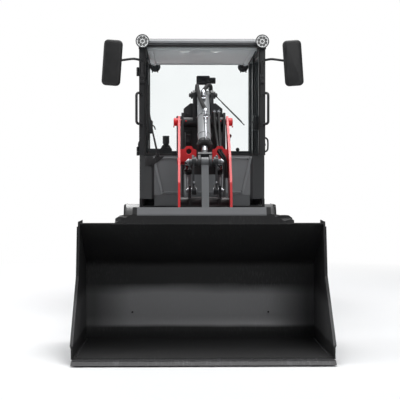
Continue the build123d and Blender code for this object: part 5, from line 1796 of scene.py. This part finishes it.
# --- inside the cab
@dataclass
class Interior:
    """Padded seat, levers, steering grips and pedals."""

    swell: float = 0.012
    voxel: float = 0.006
    pressure: float = 4.0
    cloth_frames: int = 20
    back_tilt: float = -9.0
    back_half: tuple[float, float] = (0.0425, 0.236)

    def cushion(self, name: str, node: str, tilt: float) -> None:
        """Blow up a cushion inside its node's box and sew its seams.

        Args:
            name: Name of the piece.
            node: Packed cushion that it replaces.
            tilt: Lean in degrees about the machine's cross axis.
        """
        first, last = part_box(node)
        middle = (first + last) / 2
        half = (last - first) / 2
        if tilt:
            half = Vector((half.x, *self.back_half))
        inner = half - Vector((self.swell, self.swell, self.swell))
        pad = Shape.block(name, -inner, inner)
        pad.edit(lambda face: True)
        bpy.ops.mesh.subdivide(number_cuts=7)
        pad.settle()
        pad.modify("BEVEL", width=0.03, segments=4, limit_method="ANGLE", angle_limit=math.radians(40))
        pad.modify("REMESH", mode="VOXEL", voxel_size=self.voxel)
        self.blow_up(pad)
        pad.modify("SMOOTH", iterations=6, factor=0.5)
        pad.modify("SUBSURF", levels=1, render_levels=1)
        self.sew(pad, inner, flat_axis=1 if tilt else 2)
        turn = Matrix.Translation(middle) @ Matrix.Rotation(math.radians(tilt), 4, "X")
        pad.obj.data.transform(turn)
        pad.dress(Look(Finish.CLOTH, smooth=60))
        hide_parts(node)

    def blow_up(self, pad: Shape) -> None:
        """Run the cloth simulation on the pad, hold back its swelling and keep the result.

        Args:
            pad: Remeshed start shape.
        """
        before = [vertex.co.copy() for vertex in pad.obj.data.vertices]
        cloth = pad.obj.modifiers.new("Cloth", "CLOTH")
        cloth.settings.use_pressure = True
        cloth.settings.uniform_pressure_force = self.pressure
        cloth.settings.effector_weights.gravity = 0.0
        cloth.point_cache.frame_end = self.cloth_frames
        for frame_number in range(1, self.cloth_frames + 1):
            bpy.context.scene.frame_set(frame_number)
        graph = bpy.context.evaluated_depsgraph_get()
        blown = pad.obj.evaluated_get(graph).data
        after = [vertex.co.copy() for vertex in blown.vertices]
        pad.obj.modifiers.remove(cloth)
        for vertex, start, end in zip(pad.obj.data.vertices, before, after):
            move = end - start
            if move.length > self.swell:
                move = move.normalized() * self.swell
            vertex.co = start + move
        bpy.context.scene.frame_set(1)

    def sew(self, pad: Shape, inner: Vector, flat_axis: int) -> None:
        """Press the channels between the sewn panels into the pad's broad faces.

        Args:
            pad: The blown-up pad, still in the middle of the frame.
            inner: Half sizes of its start shape.
            flat_axis: Number of the axis across its thickness.
        """
        along = 3 - flat_axis
        for vertex in pad.obj.data.vertices:
            place = vertex.co
            depth = 0.0
            for seam in (-0.6, 0.6):
                depth += math.exp(-((place.x / inner.x - seam) / 0.035) ** 2)
            if abs(place.x) < inner.x * 0.6:
                for seam in (-0.45, 0.0, 0.45):
                    depth += math.exp(-((place[along] / inner[along] - seam) / 0.03) ** 2) * 0.7
            side = 1.0 if place[flat_axis] > 0 else -1.0
            flat = max(0.0, abs(place[flat_axis]) / inner[flat_axis] - 0.4)
            place[flat_axis] -= side * min(0.008, 0.009 * depth * flat)

    def seat(self) -> None:
        """Model the seat's pads, bellows, slide rail and armrest."""
        self.cushion("seat_cushion_pad", "seat_cushion", 0.0)
        self.cushion("seat_back_pad", "seat_back", self.back_tilt)
        first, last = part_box("seat_base")
        bellows = []
        for step in range(4):
            z = first.z + 0.012 + step * 0.021
            grow = 0.004 if step % 2 else 0.012
            bellows.append(Shape.block("seat_bellows", (first.x - grow, first.y - grow, z),
                                       (last.x + grow, last.y + grow, z + 0.016)).round(0.007, 3))
        slide = Shape.block("rail", (-0.15, first.y - 0.06, first.z + 0.001),
            (0.15, last.y + 0.02, first.z + 0.012))
        Shape.together(bellows + [slide.round(0.003)], Finish.HOSE)
        rest = Shape.block("armrest", (0.265, 0.86, 1.34), (0.33, 1.12, 1.385)).round(0.016, 4)
        post = Shape.line("armrest_post", [(0.297, 1.16, 1.2), (0.3, 1.15, 1.3), (0.298, 1.1, 1.355)], 0.012)
        rest.join([post]).dress(Look(Finish.PLASTIC))

    def joystick(self) -> None:
        """Model the joystick's folded boot, its stem and its grip with buttons."""
        first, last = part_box("console")
        spot = Vector((-0.315, first.y + 0.046, last.z - 0.116))
        boot = Shape.turned("joystick_boot", [(0, 0), (0.048, 0), (0.05, 0.006), (0.04, 0.014),
            (0.043, 0.018), (0.033, 0.026), (0.035, 0.03), (0.024, 0.038), (0.024, 0.044), (0, 0.046)],
            spot, (0, 0, 1), 40)
        boot.dress(Look(Finish.HOSE))
        grip = Shape.rod("joystick_grip", spot + Vector((0, 0, 0.05)), spot + Vector((0, 0, 0.114)),
            0.0315, 28)
        grip.taper((0, 0, -1), (0.72, 0.72, 1)).round(0.009, 3)
        knobs = [Shape.rod("button", spot + Vector((x, -0.024, 0.094)), spot + Vector((x, -0.034, 0.097)),
            0.0055, 16) for x in (-0.011, 0.011)]
        grip.join([knob.round(0.0012) for knob in knobs]).dress(Look(Finish.PLASTIC))

    def side_console(self) -> None:
        """Model the low console on the other side with two ball levers and switches."""
        body = Shape.block("left_console", (0.32, 0.9, 1.0), (0.474, 1.3, 1.36)).round(0.02, 3)
        body.inset((0, 0, 1), 0.018, -0.004)
        switches = [Shape.block("switch", (0.355 + 0.03 * column, 1.05 + 0.05 * row, 1.352),
                                (0.377 + 0.03 * column, 1.085 + 0.05 * row, 1.364)).round(0.003)
                    for column in range(3) for row in range(3)]
        body.join(switches).dress(Look(Finish.PLASTIC))
        for name, x, y, top in (("throttle_lever", 0.264, 0.72, 1.577), ("brake_lever", 0.35, 0.96, 1.46)):
            foot = Vector((x, y + 0.04, 1.36 if x > 0.3 else 1.25))
            stem = Shape.line(name, [foot, (x, y + 0.02, top - 0.1), (x, y, top - 0.012)], 0.006)
            ball = Shape.ball("knob", (x, y, top - 0.018), 0.018)
            stem.join([ball]).dress(Look(Finish.PLASTIC))
        foot = Shape.block("lever_box", (0.225, 0.7, 1.0), (0.3, 0.8, 1.27)).round(0.012, 3)
        foot.inset((0, 0, 1), 0.012, -0.004).dress(Look(Finish.PLASTIC))

    def steering(self) -> None:
        """Model the steering wheel's finger grips, its centre cap and the dashboard."""
        centre, aim = Vector((0, 0.31, 1.33)), Vector((0, 0.32, 1)).normalized()
        grips = []
        side = aim.orthogonal().normalized()
        for step in range(24):
            turn = Matrix.Rotation(math.tau * step / 24, 3, aim)
            spot = centre + turn @ side * 0.185
            grips.append(Shape.ring("wheel_grips", spot, aim.cross(turn @ side), 0.0125, 0.0035, 16))
        Shape.together(grips, Finish.HOSE)
        cap = Shape.turned("wheel_cap", [(0, 0.004), (0.042, 0.004), (0.044, 0.012), (0.036, 0.02),
            (0, 0.023)], centre, aim, 40)
        cap.dress(Look(Finish.PLASTIC))
        dash = Shape.plate("dashboard", [(-0.11, 0.16, 1.36), (-0.11, 0.24, 1.36), (-0.11, 0.27, 1.31),
            (-0.11, 0.25, 1.26), (-0.11, 0.16, 1.24)], (0.22, 0, 0)).round(0.012, 3)
        gauges = [Shape.turned("gauge", [(0, 0), (0.028, 0), (0.03, 0.003), (0.026, 0.006), (0, 0.004)],
                               (x, 0.253, 1.338), (0, 0.85, 0.53), 32) for x in (-0.05, 0.05)]
        dash.join(gauges).dress(Look(Finish.PLASTIC))

    def pedals(self) -> None:
        """Model two ribbed pedals with their arms."""
        pads = []
        for x in (-0.19, 0.19):
            pad = Shape.block("pedals", (x - 0.045, 0.18, 0.99), (x + 0.045, 0.2, 1.09)).round(0.004)
            ribs = [Shape.block("rib", (x - 0.04, 0.199, 1.0 + 0.02 * step),
                (x + 0.04, 0.205, 1.008 + 0.02 * step)) for step in range(5)]
            arm = Shape.line("arm", [(x, 0.178, 1.03), (x, 0.15, 1.06), (x, 0.135, 1.2)], 0.009)
            pads.append(pad.join(ribs + [arm]))
        Shape.together(pads, Finish.PLASTIC)

    def build(self) -> None:
        """Dress the driver's place."""
        self.seat()
        self.joystick()
        self.side_console()
        self.steering()
        self.pedals()


# --- rear body
@dataclass
class RearBody:
    """Hood, tail lamps, ballast bolts, tank covers, steps, mudguard lips, exhaust and frame bolts."""

    panel: float = 0.006
    bevel: float = 0.045
    ballast_face: float = 2.37

    def hood(self) -> None:
        """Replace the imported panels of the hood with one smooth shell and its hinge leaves."""
        first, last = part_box("hood")
        half, top, front = 0.5, 1.4, 1.395
        back, low_z = last.y, first.z
        outline = [(front, low_z), (back, low_z), (back - 0.015, 1.21), (back - 0.085, 1.27), (front, top)]
        shell = Shape.plate("hood_shell", [(-half, y, z) for y, z in outline], (2 * half, 0, 0))
        shell.edit(lambda face: face.normal.z < -0.9 or face.normal.y < -0.9)
        bpy.ops.mesh.delete(type="FACE")
        shell.settle()
        shell.modify("BEVEL", width=self.bevel * 0.8, segments=6, limit_method="ANGLE",
            angle_limit=math.radians(50))
        shell.modify("BEVEL", width=0.02, segments=3, limit_method="ANGLE", angle_limit=math.radians(14))
        shell.modify("SOLIDIFY", thickness=self.panel, offset=-1.0)
        leaves = []
        for side in (-1, 1):
            xs = span(side * 0.3405, side * 0.379)
            leaves.append(Shape.block("leaf", (xs[0], front - 0.012, top - 0.003),
                (xs[1], front + 0.04, top + 0.009)).round(0.003))
        shell.join(leaves).dress(Look(Finish.RED, "hood", 40))
        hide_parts("hood")

    def louvres(self) -> None:
        """Model raised louvres on the hood's sides and the black grille at the tail."""
        slats = []
        for side in (-1, 1):
            for step in range(7):
                y = 1.62 + step * 0.062
                face = side * 0.5
                slat = Shape.plate("hood_louvres",
                    [(face - side * 0.002, y, 1.1), (face + side * 0.009, y + 0.03, 1.1),
                    (face - side * 0.002, y + 0.034, 1.1)], (0, 0, 0.17))
                slats.append(slat.round(0.0025, 2))
        Shape.together(slats, Finish.RED, "hood")
        back = high("hood").y
        grille = Shape.frame("tail_grille", (-0.34, back - 0.012, 0.99), (0.34, back + 0.004, 1.19), 0.02, 1)
        bars = [Shape.block("bar", (-0.325, back - 0.01, 1.005 + 0.02 * step),
            (0.325, back + 0.002, 1.012 + 0.02 * step)).round(0.0015) for step in range(9)]
        posts = [Shape.block("post", (x - 0.005, back - 0.012, 1.0), (x + 0.005, back - 0.001, 1.18))
            for x in (-0.11, 0.11)]
        panel = Shape.block("panel", (-0.33, back - 0.016, 1.0), (0.33, back - 0.011, 1.18)).round(0.001)
        grille.join(bars + posts + [panel]).dress(Look(Finish.PLASTIC, "hood"))
        latch = Shape.block("hood_latch", (-0.035, back - 0.02, 1.215),
            (0.035, back + 0.002, 1.255)).round(0.006, 3)
        latch.inset((0, 1, 0), 0.008, -0.005)
        latch.dress(Look(Finish.PLASTIC, "hood"))

    def tail_lamps(self) -> None:
        """Replace the plain tail lamps with a holder, red and amber lenses and reflectors."""
        first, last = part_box("tail_lights")
        holders, reds, ambers = [], [], []
        for side in (-1, 1):
            xs = span(side * last.x, side * (last.x - 0.1))
            holder = Shape.block("tail_lamp_holders", (xs[0], first.y, first.z),
                (xs[1], last.y - 0.008, last.z))
            holders.append(holder.round(0.005, 2).inset((0, 1, 0), 0.004, -0.003))
            split = side * (last.x - 0.05)
            inside = sorted((side * (last.x - 0.096), split - side * 0.001))
            outside = sorted((split + side * 0.001, side * (last.x - 0.004)))
            for made, (start, end) in ((reds, inside), (ambers, outside)):
                lens = Shape.block("tail_lens", (start, last.y - 0.012, first.z + 0.004),
                    (end, last.y, last.z - 0.004))
                made.append(lens.round(0.004, 3))
        holder = Shape.together(holders, Finish.PLASTIC)
        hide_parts("tail_lights")
        Shape.together(reds, Finish.RED_LENS)
        Shape.together(ambers, Finish.AMBER_LENS)

    def ballast(self) -> None:
        """Model the washers and bolts on the ballast's face."""
        _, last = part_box("counterweight")
        bolts = []
        for x in (-0.42, -0.22, 0.22, 0.42):
            for z in (0.56, 0.86):
                foot = Vector((x, self.ballast_face, z))
                washer = Shape.rod("ballast_bolts", foot - Vector((0, 0.002, 0)),
                    foot + Vector((0, 0.004, 0)), 0.021, 32)
                head = Shape.rod("head", foot, foot + Vector((0, 0.014, 0)), 0.0145, 6).round(0.0018)
                bolts.append(washer.join([head]))
        Shape.together(bolts, Finish.PIN)
        LOG.info("ballast ends at %.3f", last.y)

    def tanks(self) -> None:
        """Model the tank's cap and the sunk covers of both tanks."""
        first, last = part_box("side_tanks")
        spot = Vector((last.x - 0.06, (first.y + last.y) / 2, last.z - 0.002))
        cap = Shape.turned("tank_cap", [(0, 0), (0.036, 0), (0.04, 0.008), (0.04, 0.022), (0.034, 0.026),
            (0, 0.026)], spot, (0, 0, 1), 20)
        cap.dress(Look(Finish.PLASTIC))
        covers = []
        for side in (-1, 1):
            xs = span(side * (last.x - 0.001), side * (last.x + 0.006))
            cover = Shape.block("tank_covers", (xs[0], first.y + 0.03, first.z + 0.04),
                                (xs[1], last.y - 0.03, last.z - 0.04)).round(0.003)
            cover.inset((side, 0, 0), 0.025, -0.003)
            covers.append(cover)
        Shape.together(covers, Finish.PANEL)

    def steps(self) -> None:
        """Model the studs that give grip on the steps."""
        first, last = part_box("steps")
        studs = []
        for side in (-1, 1):
            for row in range(3):
                for column in range(7):
                    x = side * (last.x - 0.03 - row * 0.035)
                    y = first.y + 0.03 + column * (last.y - first.y - 0.06) / 6
                    studs.append(Shape.turned("step_studs",
                        [(0, 0), (0.008, 0), (0.006, 0.004), (0.003, 0.004), (0.0025, 0.002), (0, 0.002)],
                        (x, y, last.z - 0.0005), (0, 0, 1), 12))
        Shape.together(studs, Finish.PIN)

    def fenders(self) -> None:
        """Model the rubber lip along the rear mudguards' outer edge."""
        first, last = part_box("rear_fenders")
        lips = []
        for side in (-1, 1):
            x = side * (last.x - 0.006)
            lips.append(Shape.line("fender_lips",
                [(x, first.y + 0.01, first.z + 0.02), (x, first.y + 0.1, last.z - 0.006),
                (x, first.y + 0.2, last.z - 0.006), (x, last.y - 0.2, last.z - 0.006),
                (x, last.y - 0.1, last.z - 0.006), (x, last.y - 0.01, first.z + 0.02)], 0.006))
        Shape.together(lips, Finish.HOSE)

    def exhaust(self) -> None:
        """Model the short exhaust pipe below the tail."""
        pipe = Shape.turned("exhaust_pipe", [(0.021, 0), (0.025, 0), (0.025, 0.11), (0.027, 0.112),
            (0.027, 0.12), (0.021, 0.12)], (-0.46, 2.27, 0.47), (0, 1, -0.1), 36)
        strap = Shape.block("strap", (-0.475, 2.3, 0.49), (-0.445, 2.315, 0.56)).round(0.002)
        pipe.join([strap]).dress(Look(Finish.IRON))

    def frame_bolts(self) -> None:
        """Model the rows of bolts on the rear frame's side plates."""
        bolts = []
        edge = high("rear_frame").x - 0.001
        for side in (-1, 1):
            spots = [(side * edge, y, 0.72) for y in (0.56, 0.66, 1.16, 1.26, 1.9, 2.0)]
            bolts += Shape.heads("frame_bolts", spots, (side * 0.011, 0, 0), 0.0125, 0.0015)
        Shape.together(bolts, Finish.DARK)

    def build(self) -> None:
        """Dress the rear half."""
        self.hood()
        self.louvres()
        self.tail_lamps()
        self.ballast()
        self.tanks()
        self.steps()
        self.fenders()
        self.exhaust()
        self.frame_bolts()


def main() -> None:
    """Build the studio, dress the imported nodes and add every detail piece."""
    logging.basicConfig(level=logging.INFO, format="%(message)s")
    Studio().build()
    finish_nodes()
    for part in (Wheels(), BucketTrim(), LinkageTrim(), Hydraulics(), TowerTrim(), CabTrim(), Interior(),
                 RearBody()):
        part.build()
        LOG.info("%s is done", type(part).__name__)


if __name__ == "__main__":
    main()
